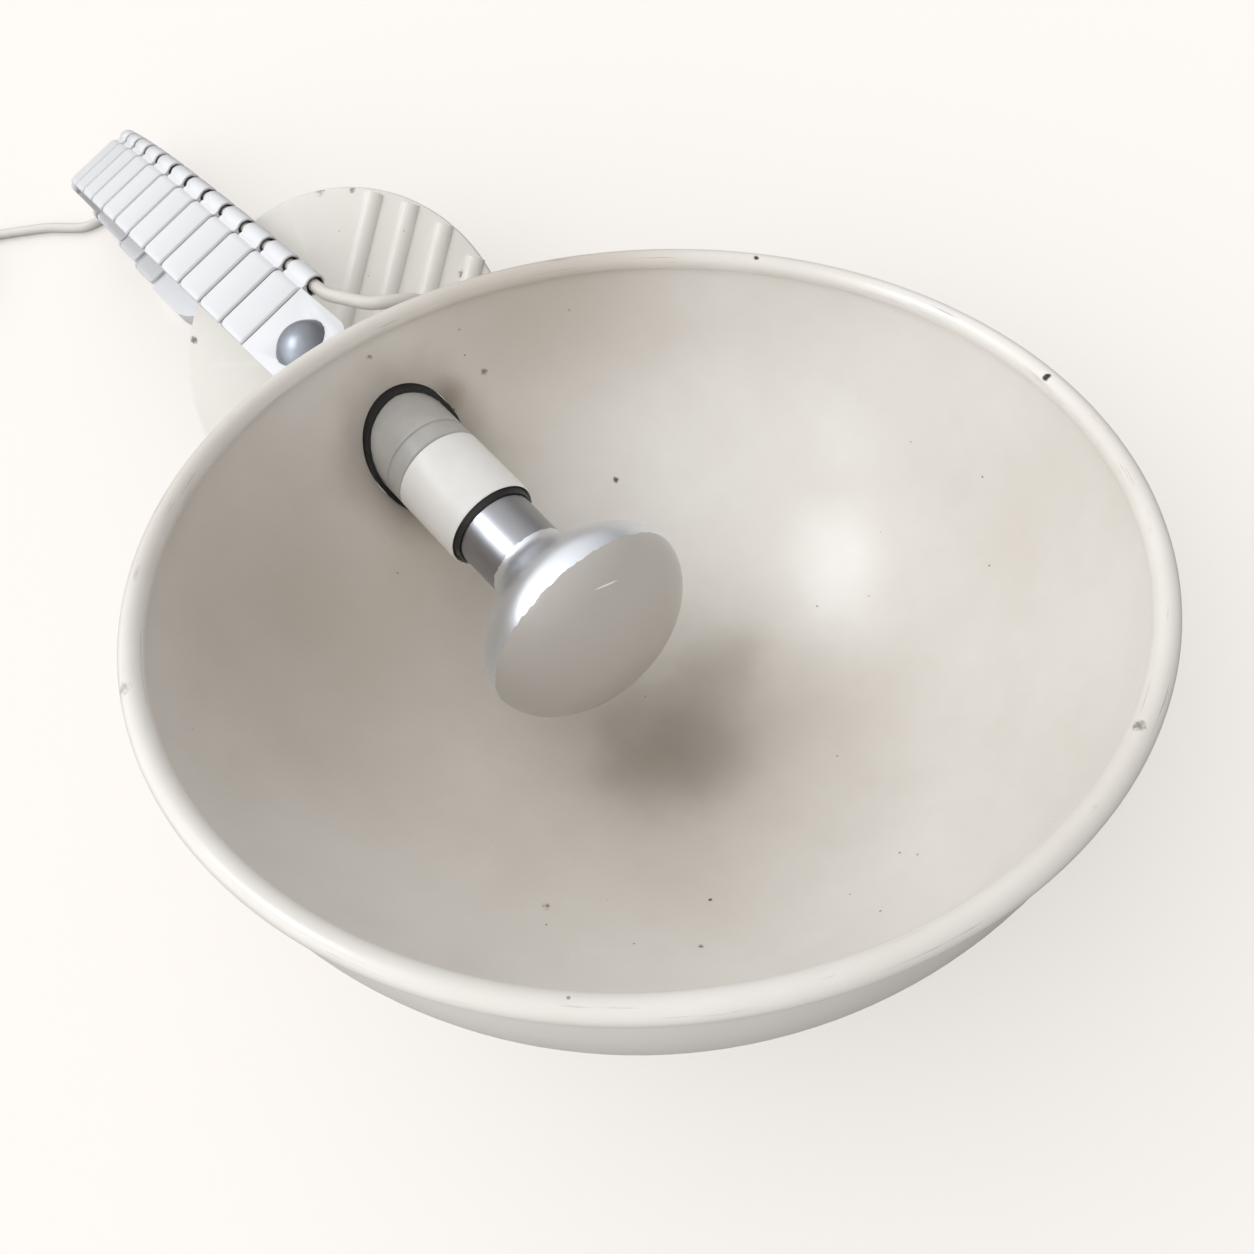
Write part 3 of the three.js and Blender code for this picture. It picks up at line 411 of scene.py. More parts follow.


# Marks and painted shade on the surface, in metres: middle, radius, core, raggedness, strength and colour
SHADE_MARKS_AND_PAINTED_SHADE = [
    # Painted shadow: the bulb's broad shadow on the inside of the shade
    ((0.4278, -0.0052, 0.0165), 0.115, 0.0, 0.3, 0.45, (0.38, 0.335, 0.28)),
    ((0.416, -0.0037, 0.0108), 0.05, 0.0, 0.6, 0.57, (0.2, 0.18, 0.15)),
    ((0.402, 0.035, 0.004), 0.03, 0.0, 0.6, 0.4, (0.24, 0.22, 0.19)),
    # Painted shade darkening the inside's left half, the side away from the light, with some real yellowing of the
    # paint
    ((0.2914, -0.0751, 0.0881), 0.16, 0.0, 0.3, 0.6, (0.5, 0.42, 0.33)),
    ((0.2500, 0.0040, 0.0832), 0.05, 0.45, 0.5, 0.5, (0.3, 0.26, 0.22)),
    ((0.3049, 0.0601, 0.0264), 0.0018, 0.4, 1.2, 1.0, (0.12, 0.1, 0.08)),
    ((0.4492, 0.1834, 0.0971), 0.0021, 0.5, 1.0, 1.0, (0.008, 0.007, 0.006)),
    ((0.3146, 0.1614, 0.0893), 0.0015, 0.3, 1.6, 1.0, (0.02, 0.02, 0.018)),
    ((0.5650, 0.0827, 0.1537), 0.0026, 0.2, 1.6, 0.8, (0.2, 0.18, 0.16)),
    ((0.3437, -0.1232, 0.2115), 0.0035, 0.1, 2.0, 0.6, (0.32, 0.28, 0.23)),
    # Painted shadow: the bulb's shadow reaching further across the inside
    ((0.4326, 0.0375, 0.0060), 0.085, 0.0, 0.3, 0.35, (0.48, 0.43, 0.36)),
    # Painted shade on the inside's upper wall
    ((0.2600, 0.0900, 0.1000), 0.10, 0.0, 0.3, 0.6, (0.5, 0.43, 0.35)),
    # Painted shadow low on the inside, next to the dark patch below the bulb
    ((0.4176, -0.0257, 0.0183), 0.04, 0.0, 0.4, 0.3, (0.28, 0.25, 0.2)),
    ((0.2468, 0.0296, 0.0843), 0.014, 0.0, 1.0, 0.7, (0.28, 0.22, 0.16)),
    ((0.2345, 0.0154, 0.1235), 0.002, 0.2, 1.6, 0.9, (0.14, 0.11, 0.09)),
    ((0.2493, 0.0496, 0.0818), 0.002, 0.2, 1.8, 0.9, (0.16, 0.13, 0.11)),
    ((0.2502, 0.0277, 0.0787), 0.0012, 0.3, 1.2, 1.0, (0.12, 0.08, 0.06)),
    ((0.2414, -0.0004, 0.1046), 0.0022, 0.2, 2.0, 0.9, (0.12, 0.11, 0.1)),
    ((0.2407, 0.0144, 0.1010), 0.0022, 0.2, 2.0, 0.9, (0.1, 0.1, 0.1)),
    ((0.2432, 0.0248, 0.0920), 0.0020, 0.2, 2.0, 0.9, (0.1, 0.1, 0.1)),
    ((0.4814, 0.0275, 0.0228), 0.0009, 0.4, 0.8, 1.0, (0.12, 0.1, 0.08)),
    ((0.4136, -0.1061, 0.0764), 0.0009, 0.4, 0.8, 0.9, (0.12, 0.1, 0.08)),
    ((0.4430, -0.0907, 0.0664), 0.0024, 0.1, 2.6, 0.9, (0.2, 0.17, 0.14)),
    ((0.4543, -0.0730, 0.0545), 0.0008, 0.4, 0.8, 0.9, (0.14, 0.12, 0.1)),
    ((0.4816, -0.0445, 0.0474), 0.0010, 0.4, 0.8, 1.0, (0.1, 0.08, 0.07)),
    ((0.4258, -0.1227, 0.1040), 0.0008, 0.4, 0.8, 0.9, (0.14, 0.12, 0.1)),
    ((0.4782, -0.0754, 0.0684), 0.0009, 0.4, 1.2, 0.9, (0.14, 0.12, 0.1)),
    ((0.4961, -0.0583, 0.0657), 0.0014, 0.2, 2.0, 0.9, (0.14, 0.12, 0.1)),
    ((0.5270, 0.0221, 0.0541), 0.0012, 0.2, 1.6, 0.9, (0.14, 0.12, 0.1)),
]
DISC_MARKS = [
    ((0.1496, 0.0549, 0.0548), 0.0024, 0.3, 1.4, 0.8, (0.16, 0.12, 0.09)),
    ((0.1726, 0.0846, 0.0525), 0.0022, 0.3, 1.4, 0.8, (0.2, 0.16, 0.12)),
    ((0.0849, -0.0328, 0.0602), 0.0024, 0.4, 1.2, 0.9, (0.12, 0.08, 0.06)),
    ((0.0949, 0.0654, 0.0816), 0.0030, 0.1, 2.0, 0.7, (0.3, 0.26, 0.2)),
    ((0.1073, 0.0767, 0.0792), 0.0020, 0.3, 1.4, 0.8, (0.2, 0.16, 0.12)),
]
# A fine crack above the shade's hole and a painted glint on the bulb's front, a thin pale line of painted reflection,
# each from end to end
HOLE_CRACK = ((0.2392, 0.0254, 0.1035), (0.2411, 0.0208, 0.0986))
BULB_GLINT = ((0.3873, 0.0057, 0.1186), (0.3897, 0.0193, 0.1117))
# The circle of the shade's rim, in millimetres
RIM_MIDDLE = Vector((402.2, 27.2, 151.9))
RIM_AXIS = Vector((-0.116, 0.382, 0.917)).normalized()
FINISHES = {}


def look(name):
    return FINISHES[name].material


def make_finishes():
    colours = bpy.context.scene.lamp_colours
    patch = patch_group()
    grime = grime_group()

    def plain(name, colour, roughness, metallic=0.0, clouds=0.0, shade=0.8, size=25.0, specks=0.0):
        finish = FINISHES[name] = Finish(name, colour, roughness, metallic)
        if clouds:
            tone = finish.group(grime, Cloud_size=size, Speck_share=specks)
            finish.paint(tone["Clouds"], [c * shade for c in colour], clouds)
            if specks:
                finish.paint(tone["Specks"], [c * 0.35 for c in colour])
        return finish

    arm = plain("arm white plastic", colours.arm, 0.38, clouds=0.2, shade=0.9)
    # Painted shade: grey in the creases between the links and under them, near black inside the cable's tube
    for mark, colour in (("crease_shade", (0.42, 0.42, 0.42)), ("tube_shade", (0.05, 0.038, 0.03))):
        arm.paint(arm.add("ShaderNodeAttribute", attribute_name=mark).outputs["Fac"], colour)
    base = plain("base white paint", colours.disc, 0.42, clouds=0.4, shade=0.88, specks=0.0008)
    paint_soft_patches(base, patch, DISC_MARKS)
    plain("holder cream plastic", colours.holder, 0.42, clouds=0.4, shade=0.85, size=40)
    plain("holder grey plastic", colours.holder_grey, 0.4, clouds=0.7, shade=0.72, size=45)
    plain("black rubber", (0.012, 0.012, 0.011), 0.55)
    plain("black plastic", (0.015, 0.014, 0.013), 0.45)
    plain("cable sheath", colours.cable, 0.5, clouds=0.3, shade=0.85, size=60)
    plain("plug white plastic", (0.78, 0.76, 0.71), 0.42, clouds=0.2)
    plain("chrome", (0.32, 0.34, 0.38), 0.42, 1.0, clouds=0.6, shade=0.65, size=60)
    plain("brass", (0.6, 0.45, 0.2), 0.35, 1.0)
    plain("pin metal", (0.6, 0.6, 0.6), 0.3, 1.0)
    plain("cap metal", (0.5, 0.5, 0.5), 0.38, 1.0)
    paint_shade(plain("shade cream paint", colours.shade, 0.3), patch, grime)
    frost_bulb(plain("bulb glass", (0.51, 0.485, 0.455), 0.3))


def paint_shade(finish, patch, grime):
    """Clouds of yellowing, the marks of long use, painted shadows of the bulb and painted shade on the inside's left
    and top, a few specks and the worn rim.
    """
    tone = finish.group(grime, Cloud_size=7.0, Speck_share=0.0006, Speck_size=560.0)
    finish.paint(tone["Clouds"], (0.6, 0.54, 0.46), 0.35)
    # The patches hold soot, chips and stains, and also the painted shadow and painted shade on the inside
    paint_soft_patches(finish, patch, SHADE_MARKS_AND_PAINTED_SHADE)
    paint_line(finish, *HOLE_CRACK, 0.5 * MM, 0.85, (0.12, 0.1, 0.08))
    finish.paint(tone["Specks"], (0.4, 0.36, 0.31))
    scuff_rim(finish)


def paint_soft_patches(finish, patch, marks):
    for middle, radius, core, raggedness, strength, colour in marks:
        grain = 25.0 if radius > 10 * MM else 700.0
        mark = finish.group(patch, Middle=middle, Radius=radius, Core=core, Raggedness=raggedness, Grain=grain)
        finish.paint(mark["Mask"], colour, strength)


def paint_line(finish, first, last, width, strength, colour):
    """A thin line on a surface, from one point to the other."""
    first, course = Vector(first), Vector(last) - Vector(first)
    gap = finish.vector("SUBTRACT", finish.place, first)
    share = finish.vector("DOT_PRODUCT", gap, course / course.length_squared)
    held = finish.add("ShaderNodeClamp", Value=share).outputs["Result"]
    off = finish.vector("DISTANCE", gap, finish.vector("SCALE", course, Scale=held))
    finish.paint(finish.ranged(off, width * 0.5, width, strength, 0), colour)


def scuff_rim(finish):
    """Grey scuffs that run along the rolled rim, in broken lines."""
    along_rim, across_rim = 30, 1500
    rim = RIM_MIDDLE.dot(RIM_AXIS) * MM
    height = finish.vector("DOT_PRODUCT", finish.place, RIM_AXIS)
    lines = finish.vector("SCALE", RIM_AXIS, Scale=finish.maths("MULTIPLY", height, across_rim))
    place = finish.vector("MULTIPLY_ADD", finish.place, [along_rim] * 3, lines)
    worn = finish.ranged(finish.noise(place, 1.0, 4), 0.63, 0.72)
    on_rim = finish.ranged(height, rim - 6 * MM, rim - 3 * MM)
    finish.paint(finish.maths("MULTIPLY", worn, on_rim), (0.38, 0.35, 0.33), 0.55)


def frost_bulb(finish):
    """Frosted glass in front with a painted glint line, silvered from the neck to just past the widest part."""
    start = HEAD_POINT.dot(HOLDER_AXIS) * MM
    station = finish.vector("DOT_PRODUCT", finish.place, HOLDER_AXIS)
    jagged = finish.maths("MULTIPLY_ADD", finish.noise(finish.place, 330, 4), 2.6 * MM, station)
    silvered = finish.maths("LESS_THAN", jagged, start + (SILVER_EDGE + 1.3) * MM)
    finish.paint(silvered, (0.83, 0.87, 0.93))
    # A painted glint: a thin pale line of painted reflection across the bulb's front
    paint_line(finish, *BULB_GLINT, 0.45 * MM, 0.9, (0.95, 0.93, 0.9))
    finish.paint(finish.maths("LESS_THAN", jagged, start + SILVER_START * MM), (0.36, 0.365, 0.385))
    finish.put(finish.shader.inputs["Metallic"], silvered)
    finish.put(finish.shader.inputs["Roughness"], finish.ranged(silvered, 0, 1, 0.28, 0.34))


# The room: its darkest and brightest side, the direction of the bright side, and what the floor
# gives off by itself to the camera
ROOM_LOW = 0.3
ROOM_HIGH = 1.33
BRIGHT_SIDE = Vector((-0.42, -0.55, 0.72)).normalized()
FLOOR_GLOW = 0.38
# What the floor throws back on to the lamp
FLOOR_TO_LAMP = (0.28, 0.27, 0.265, 1)
# Where the windows are: direction, half width and half height in degrees, and strength
WINDOWS = [((-0.447, -0.274, 0.851), 13, 7, 9.5), ((-0.16, -0.80, 0.578), 10, 7, 3.2)]


def light_room(wiring, background):
    """A pale room, brighter on one side. Gloss also mirrors its two windows."""
    place = wiring.add("ShaderNodeTexCoord").outputs["Generated"]

    def dot(direction):
        return wiring.vector("DOT_PRODUCT", place, direction)

    def within(direction, degrees, softness):
        edge = math.sin(math.radians(degrees))
        off = wiring.maths("ABSOLUTE", dot(direction))
        return wiring.ranged(off, edge, edge * softness, 1, 0, "SMOOTHSTEP")

    mirrored = wiring.add("ShaderNodeLightPath").outputs["Is Glossy Ray"]
    panes = 0.0
    for direction, wide, tall, strength in WINDOWS:
        ahead = Vector(direction).normalized()
        level = ahead.cross(Vector((0, 0, 1))).normalized()
        inside = wiring.maths("MULTIPLY", within(level, wide, 1.25), within(level.cross(ahead), tall, 1.15))
        ahead_only = wiring.maths("MULTIPLY", inside, wiring.maths("GREATER_THAN", dot(ahead), 0.0))
        panes = wiring.maths("MULTIPLY_ADD", ahead_only, strength, panes)
    room = wiring.ranged(dot(BRIGHT_SIDE), -0.6, 1.0, ROOM_LOW, ROOM_HIGH, "SMOOTHSTEP")
    wiring.put(background.inputs["Strength"], wiring.maths("MULTIPLY_ADD", panes, mirrored, room))
    bluish = wiring.maths("MULTIPLY", wiring.maths("MINIMUM", panes, 1.0), mirrored)
    tint = wiring.add(
        "ShaderNodeMix", data_type="RGBA", Factor=bluish, A=(1.0, 0.988, 0.978, 1), B=(0.86, 0.93, 1.0, 1),
    )
    wiring.put(background.inputs["Color"], tint.outputs["Result"])


class LAMP_OT_stage(bpy.types.Operator):
    """Places the camera, the pale floor and the light."""

    bl_idname = "lamp.stage"
    bl_label = "Stage and camera"

    def execute(self, context):
        scene = context.scene
        scene.view_settings.view_transform = "Standard"
        clear_selection()
        bpy.ops.object.camera_add(location=(0.6099, -0.0241, 0.5256))
        camera = context.object
        camera.name = "view camera"
        right_up_back = ((0.6589, 0.7005, -0.2741), (-0.6085, 0.7105, 0.3534), (0.4423, -0.0661, 0.8944))
        camera.rotation_euler = Matrix(right_up_back).transposed().to_euler()
        camera.data.lens = 35.885
        camera.data.sensor_width = 36
        camera.data.clip_start = 0.01
        scene.camera = camera
        scene.render.resolution_x = scene.render.resolution_y = 1254

        floor_colour = (*scene.lamp_colours.floor, 1)
        world = bpy.data.worlds.new("room light")
        world.use_nodes = True
        scene.world = world
        wiring = Wiring(world.node_tree)
        background = wiring.nodes["Background"]
        light_room(wiring, background)
        seen = wiring.add("ShaderNodeBackground", Color=floor_colour)
        direct = wiring.add("ShaderNodeLightPath").outputs["Is Camera Ray"]
        choose = wiring.add("ShaderNodeMixShader", direct, background.outputs[0], seen.outputs[0])
        wiring.put(wiring.nodes["World Output"].inputs["Surface"], choose.outputs["Shader"])

        bpy.ops.mesh.primitive_plane_add(size=8, location=(0, 0, -0.4 * MM))
        floor = context.object
        floor.name = "pale floor"
        bpy.ops.object.mode_set(mode="EDIT")
        bpy.ops.mesh.subdivide(number_cuts=3)
        bpy.ops.object.mode_set(mode="OBJECT")
        bpy.ops.object.transform_apply(location=True, rotation=True, scale=True)
        finish = Finish("floor", floor_colour[:3], 0.9)
        inputs = finish.shader.inputs
        inputs["Specular IOR Level"].default_value = 0.0
        direct = finish.add("ShaderNodeLightPath").outputs["Is Camera Ray"]
        tone = finish.add(
            "ShaderNodeMix", data_type="RGBA", Factor=direct, A=FLOOR_TO_LAMP,
            B=[c * (1 - FLOOR_GLOW) for c in floor_colour[:3]] + [1],
        )
        finish.put(inputs["Base Color"], tone.outputs["Result"])
        inputs["Emission Color"].default_value = floor_colour
        finish.put(inputs["Emission Strength"], finish.maths("MULTIPLY", direct, FLOOR_GLOW))
        floor.data.materials.append(finish.material)
        return {"FINISHED"}


def cable(name, points, radius, body, *nodes):
    """A round cable through the points, as one open spline."""
    data = bpy.data.curves.new(name, "CURVE")
    data.dimensions = "3D"
    data.bevel_depth = radius
    data.bevel_resolution = 6
    data.use_fill_caps = True
    data.resolution_u = 6
    spline = data.splines.new("BEZIER")
    spline.bezier_points.add(len(points) - 1)
    last = len(points) - 1
    for i, (knot, point) in enumerate(zip(spline.bezier_points, points)):
        before, after = points[max(0, i - 1)], points[min(last, i + 1)]
        heading = (after - before).normalized()
        knot.co = point
        knot.handle_left_type = knot.handle_right_type = "FREE"
        knot.handle_left = point - heading * ((point - before).length / 3 if i else MM)
        knot.handle_right = point + heading * ((after - point).length / 3 if i < last else MM)
    piece = bpy.data.objects.new(name, data)
    bpy.context.scene.collection.objects.link(piece)
    hand_over(piece, body, "cable sheath", "cable_white", *nodes)
    return piece




def arc(x, radius, first, last, step=9):
    """Points of a round part of the link's side profile, in X and Z, from one angle to another."""
    count = max(1, round(abs(last - first) / step))
    angles = [math.radians(first + (last - first) * i / count) for i in range(count + 1)]
    return [(x + radius * math.cos(a), radius * math.sin(a)) for a in angles]


def link_outline():
    """Side profile of a link: a nose at its own hinge, a barrel round the next one."""
    hollow = 4.6
    top = 180 - math.degrees(math.asin(3.3 / hollow))
    neck = math.degrees(math.asin(1.2 / hollow))
    nose = math.degrees(math.asin(0.5))
    outline = [(-PITCH, HALF_THICK), (-SHOULDER, HALF_THICK), (-4.4, 4.1), (-3.75, 3.85), (-3.35, 3.55)]
    outline += arc(0, hollow, top, 180 - neck)
    outline += arc(0, 2.4, 180 - nose, -180 + nose, 15)
    outline += arc(0, hollow, 180 + neck, 228)
    outline += [(-SHOULDER, -HALF_THICK), (-PITCH + HALF_THICK * math.cos(math.radians(-86)), -4.19)]
    outline += arc(-PITCH, 2.75, -86, 141, 15)
    outline += arc(-PITCH, HALF_THICK, 141, 93)
    return outline


def link_slab(name, left_half):
    """The link's plate, rounded off at its free end and dipping towards the cable's tube."""
    middle = Vector((-PITCH / 2 - 1.5, 0, 0))
    # station across, and how narrow and thin the profile is there
    sections = [(HALF_WIDTH, 0.94, 0.66), (17.9, 0.965, 0.76), (17.1, 0.985, 0.88), (16.2, 0.995, 0.96), (15.2, 1, 1)]
    sections += [(3.4 - left_half, 1, 1), (2.1 - left_half, 0.983, 0.976), (1.1 - left_half, 0.94, 0.917),
                 (0.4 - left_half, 0.87, 0.833), (-left_half, 0.76, 0.66)]
    y, narrow, thin = sections[0]
    outline = [(middle.x + (x - middle.x) * narrow, y, z * thin) for x, z in link_outline()]
    piece = trace(name, outline)
    bpy.ops.mesh.edge_face_add()
    for next_y, next_narrow, next_thin in sections[1:]:
        bpy.ops.mesh.extrude_region_move(TRANSFORM_OT_translate={"value": (0, (next_y - y) * MM, 0)})
        grown = (next_narrow / narrow, 1, next_thin / thin)
        if grown != (1, 1, 1):
            bpy.ops.transform.resize(value=grown, center_override=middle * MM)
        y, narrow, thin = next_y, next_narrow, next_thin
    return tidy_faces(piece)


def cable_tube(name):
    """The cable's tube on the link's edge, cut back slantwise at both ends, with its web."""
    piece = cylinder(name, TUBE_RADIUS, -PITCH, 0, Matrix.Identity(4), 36)
    bpy.ops.object.mode_set(mode="EDIT")
    slant = (SHOULDER - TUBE_GAP) / (2 * TUBE_RADIUS + 1)
    for x, side in ((-TUBE_GAP, 1), (-PITCH + TUBE_GAP, -1)):
        bpy.ops.mesh.select_all(action="SELECT")
        bpy.ops.mesh.bisect(
            plane_co=Vector((x, 0, TUBE_RADIUS + 1)) * MM, plane_no=Vector((side, 0, -slant)).normalized(),
            clear_outer=True, use_fill=True,
        )
    bpy.ops.object.mode_set(mode="OBJECT")
    set_place(piece, scaled_place((0, TUBE_Y, TUBE_Z)))
    bevel(piece, 0.5, 2, 50)
    web = node_block("web", (-PITCH + 4, -4.3), (16.6, 20.6), (TUBE_Z - 2.2, 3.0))
    combine(web, node_block("long_web", (-PITCH + 2.5, -2.9), (18.45, 20.5), (TUBE_Z - 2.1, 3.0)), "UNION")
    combine(piece, web, "UNION")
    return piece


def node_block(name, xs, ys, zs):
    """A box between two stations on each axis, in millimetres."""
    clear_selection()
    middle = [(a + b) / 2 * MM for a, b in (xs, ys, zs)]
    bpy.ops.mesh.primitive_cube_add(size=1, location=middle)
    piece = bpy.context.object
    piece.name = name
    piece.scale = [(b - a) * MM for a, b in (xs, ys, zs)]
    bpy.ops.object.transform_apply(location=True, rotation=True, scale=True)
    return piece


def paint_crease_shade(piece):
    """Paints shade into the arm: painted shade in the creases between the links and on their undersides, and near
    black painted shade inside the cable's tube.
    """
    data = piece.data
    crease_shade = data.attributes.new("crease_shade", "FLOAT", "POINT")
    tube_shade = data.attributes.new("tube_shade", "FLOAT", "POINT")
    for i, vertex in enumerate(data.vertices):
        x, y, z = vertex.co / MM
        mark = 0.0
        # Painted shade in the creases on top, and lighter painted shade on the link's underside
        if y < HALF_WIDTH - 0.1 and z > 0:
            mark = max((x + 5.6) / 2.4, (-PITCH - 0.6 - x) / 2.6)
        elif z <= 0:
            mark = 0.3
        crease_shade.data[i].value = min(0.75, max(0.0, mark))
        # Painted shade inside the cable's tube
        off_axis = math.hypot(y - TUBE_Y, z - TUBE_Z)
        tube_shade.data[i].value = 0.9 if y > HALF_WIDTH and off_axis < TUBE_BORE + 0.2 else 0.0


class LAMP_OT_arm_links(bpy.types.Operator):
    """Models the arm's hinged links, with the cable tubes on the upper ones."""

    bl_idname = "lamp.arm_links"
    bl_label = "Arm links"

    def execute(self, context):
        pattern = link_slab("link_pattern", HALF_WIDTH)
        combine(pattern, cable_tube("tube_pattern"), "UNION")
        bore = cylinder("bore", TUBE_BORE, -PITCH - 1, 1, scaled_place((0, TUBE_Y, TUBE_Z)))
        combine(pattern, bore, "DIFFERENCE")
        tidy_faces(pattern)
        lower = len(SLOPES) - UPPER_LINKS
        for k in range(len(SLOPES)):
            number = f"{k + 1:02d}"
            if k < UPPER_LINKS:
                piece = bpy.data.objects.new(f"link_{number}", pattern.data.copy())
                context.scene.collection.objects.link(piece)
            else:
                piece = link_slab(f"link_{number}", HALF_WIDTH + WIDENING * (k - UPPER_LINKS + 1) / lower)
            paint_crease_shade(piece)
            set_place(piece, link_place(k))
            smooth_by(piece, 32)
            hand_over(piece, f"link_{number}", "arm white plastic", "arm_white", f"arm_link_{number}")
        bpy.data.objects.remove(pattern, do_unlink=True)
        return {"FINISHED"}


class LAMP_OT_plates(bpy.types.Operator):
    """Finishes the arm's end plate, its lower plate and the socket pieces."""

    bl_idname = "lamp.plates"
    bl_label = "Arm plates and sockets"

    def execute(self, context):
        for name, node, body, width, segments, degrees in (
            ("end_plate", "upper_end_plate", "end_plate", 0.35, 2, 40),
            ("lower_plate", "lower_arm_plate", "lower_plate", 0.5, 3, 45),
            ("socket_ring", "upper_socket_ring", "end_plate", 0.3, 2, 45),
            ("socket_cover", "lower_socket_cover", "lower_plate", 0.3, 2, 45),
        ):
            rounded_copy(name, node, body, "arm white plastic", "arm_white", width, segments, degrees)
        return {"FINISHED"}


def ball_profile(radius, stem, reach):
    """Round ball with a stem, as stations along the stem and radii."""
    turn_at = math.degrees(math.asin(stem / radius))
    angles = [180 - (180 - turn_at) * i / 30 for i in range(31)]
    profile = [(radius * math.cos(math.radians(a)), max(0, radius * math.sin(math.radians(a)))) for a in angles]
    profile[0] = (-radius, 0)
    return profile + [(reach - 0.4, stem), (reach, stem - 0.4), (reach, 0)]


def along(point, direction):
    """A place whose X runs in the given direction."""
    return scaled_place(point) @ Vector((1, 0, 0)).rotation_difference(direction).to_matrix().to_4x4()


class LAMP_OT_balls(bpy.types.Operator):
    """Turns the two chrome balls with their stems."""

    bl_idname = "lamp.balls"
    bl_label = "Chrome balls"

    def execute(self, context):
        upper = turned("shade_ball", ball_profile(14, 4.5, 21), along(UPPER_BALL, STEM_DOWN), 72)
        hand_over(upper, "shade_ball", "chrome", "chrome", "upper_ball")
        lower = turned("base_ball", ball_profile(11, 4, 21.6), along(LOWER_BALL, BASE_NORMAL), 64)
        hand_over(lower, "base_ball", "chrome", "chrome", "lower_ball")
        return {"FINISHED"}


class LAMP_OT_holder(bpy.types.Operator):
    """Turns the housing behind the shade and the bulb holder inside it."""

    bl_idname = "lamp.holder"
    bl_label = "Holder and housing"

    def execute(self, context):
        for name, node, finish, slot in (("housing", "holder_housing", "arm white plastic", "arm_white"),
                                         ("end_cap", "housing_cap", "arm white plastic", "arm_white"),
                                         ("gland", "cable_gland", "black plastic", "black_plastic")):
            rounded_copy(name, node, "shade_head", finish, slot, 0.4, 2, 50)
        grommet = node_copy("hole_ring", "hole_grommet")
        smooth_by(grommet, 35)
        hand_over(grommet, "shade_dome", "black rubber", "black_rubber", "hole_grommet")
        cup = turned("holder_cup_piece", [
            (-12.7, 0), (-12.7, 21.5), (13.4, 21.5), (13.8, 20.7), (14.7, 20.7), (15.2, 21.4), (22.4, 21.5),
            (22.95, 21.0), (22.95, 19.9), (-10.7, 19.9), (-10.7, 0)], DOME, 72)
        hand_over(cup, "shade_dome", "holder grey plastic", "holder_grey", "holder_cup")
        sleeve = turned("holder_sleeve_piece", [
            (23.3, 20.0), (23.3, 21.0), (23.8, 21.5), (60.2, 21.5), (60.9, 21.1), (61, 20.9), (60.7, 20.7),
            (56, 20.6), (55.5, 19.8), (23.3, 19.8)], DOME, 72)
        hand_over(sleeve, "shade_dome", "holder cream plastic", "holder_cream", "holder_sleeve")
        insert = turned("holder_insert_piece", [
            (20, 0), (20, 19.5), (56.2, 19.5), (56.6, 20.3), (60.3, 20.4), (62.6, 19.1), (63.2, 18.7),
            (62.9, 18.45), (49, 18.45), (49, 15.6), (23, 15.6), (23, 0)], DOME, 64)
        hand_over(insert, "shade_dome", "black plastic", "black_plastic", "holder_insert")
        return {"FINISHED"}


class LAMP_OT_shade(bpy.types.Operator):
    """Turns the shade with its rolled rim and cuts the hole for the holder."""

    bl_idname = "lamp.shade"
    bl_label = "Shade"

    def execute(self, context):
        sizes = context.scene.lamp_sizes
        rim, bead = sizes.rim_radius / MM, sizes.bead_radius / MM
        depth, wall = sizes.shade_depth / MM, sizes.shade_wall / MM
        rows = 40
        outer, inner = [], []
        for i in range(rows + 1):
            a = math.pi / 2 * i / rows
            share = math.sin(a) ** (2 / SHADE_POWER)
            outer.append((-depth * share, rim * math.cos(a)))
            inner.append((-(depth - wall) * share, (rim - wall) * math.cos(a)))
        outer[rows] = (-depth, 0)
        inner[rows] = (-(depth - wall), 0)
        hole_radius = rim * math.sqrt(1 - (HOLE_DEPTH / depth) ** SHADE_POWER)
        place = DOME @ turn(-SHADE_LEAN, "Y") @ scaled_place((hole_radius, 0, HOLE_DEPTH)) @ turn(-90, "Y")
        profile = list(reversed(inner)) + shade_bead(rim, bead) + outer[1:]
        shade = turned("shade_shell", [(s, max(0, r)) for s, r in profile], place, 168)
        cutter = cylinder("hole", sizes.hole_radius / MM, -40, 40, DOME, 96)
        combine(shade, cutter, "DIFFERENCE")
        smooth_by(shade, 50)
        hand_over(shade, "shade_dome", "shade cream paint", "shade_cream", "shade")
        return {"FINISHED"}


def shade_bead(rim, bead):
    """The rolled bead, from the inner wall over the top to the outer wall, as (height, radius)."""
    points = []
    for i in range(21):
        a = math.radians(205 - 245 * i / 20)
        points.append((bead * math.sin(a), rim + bead * math.cos(a)))
    return points


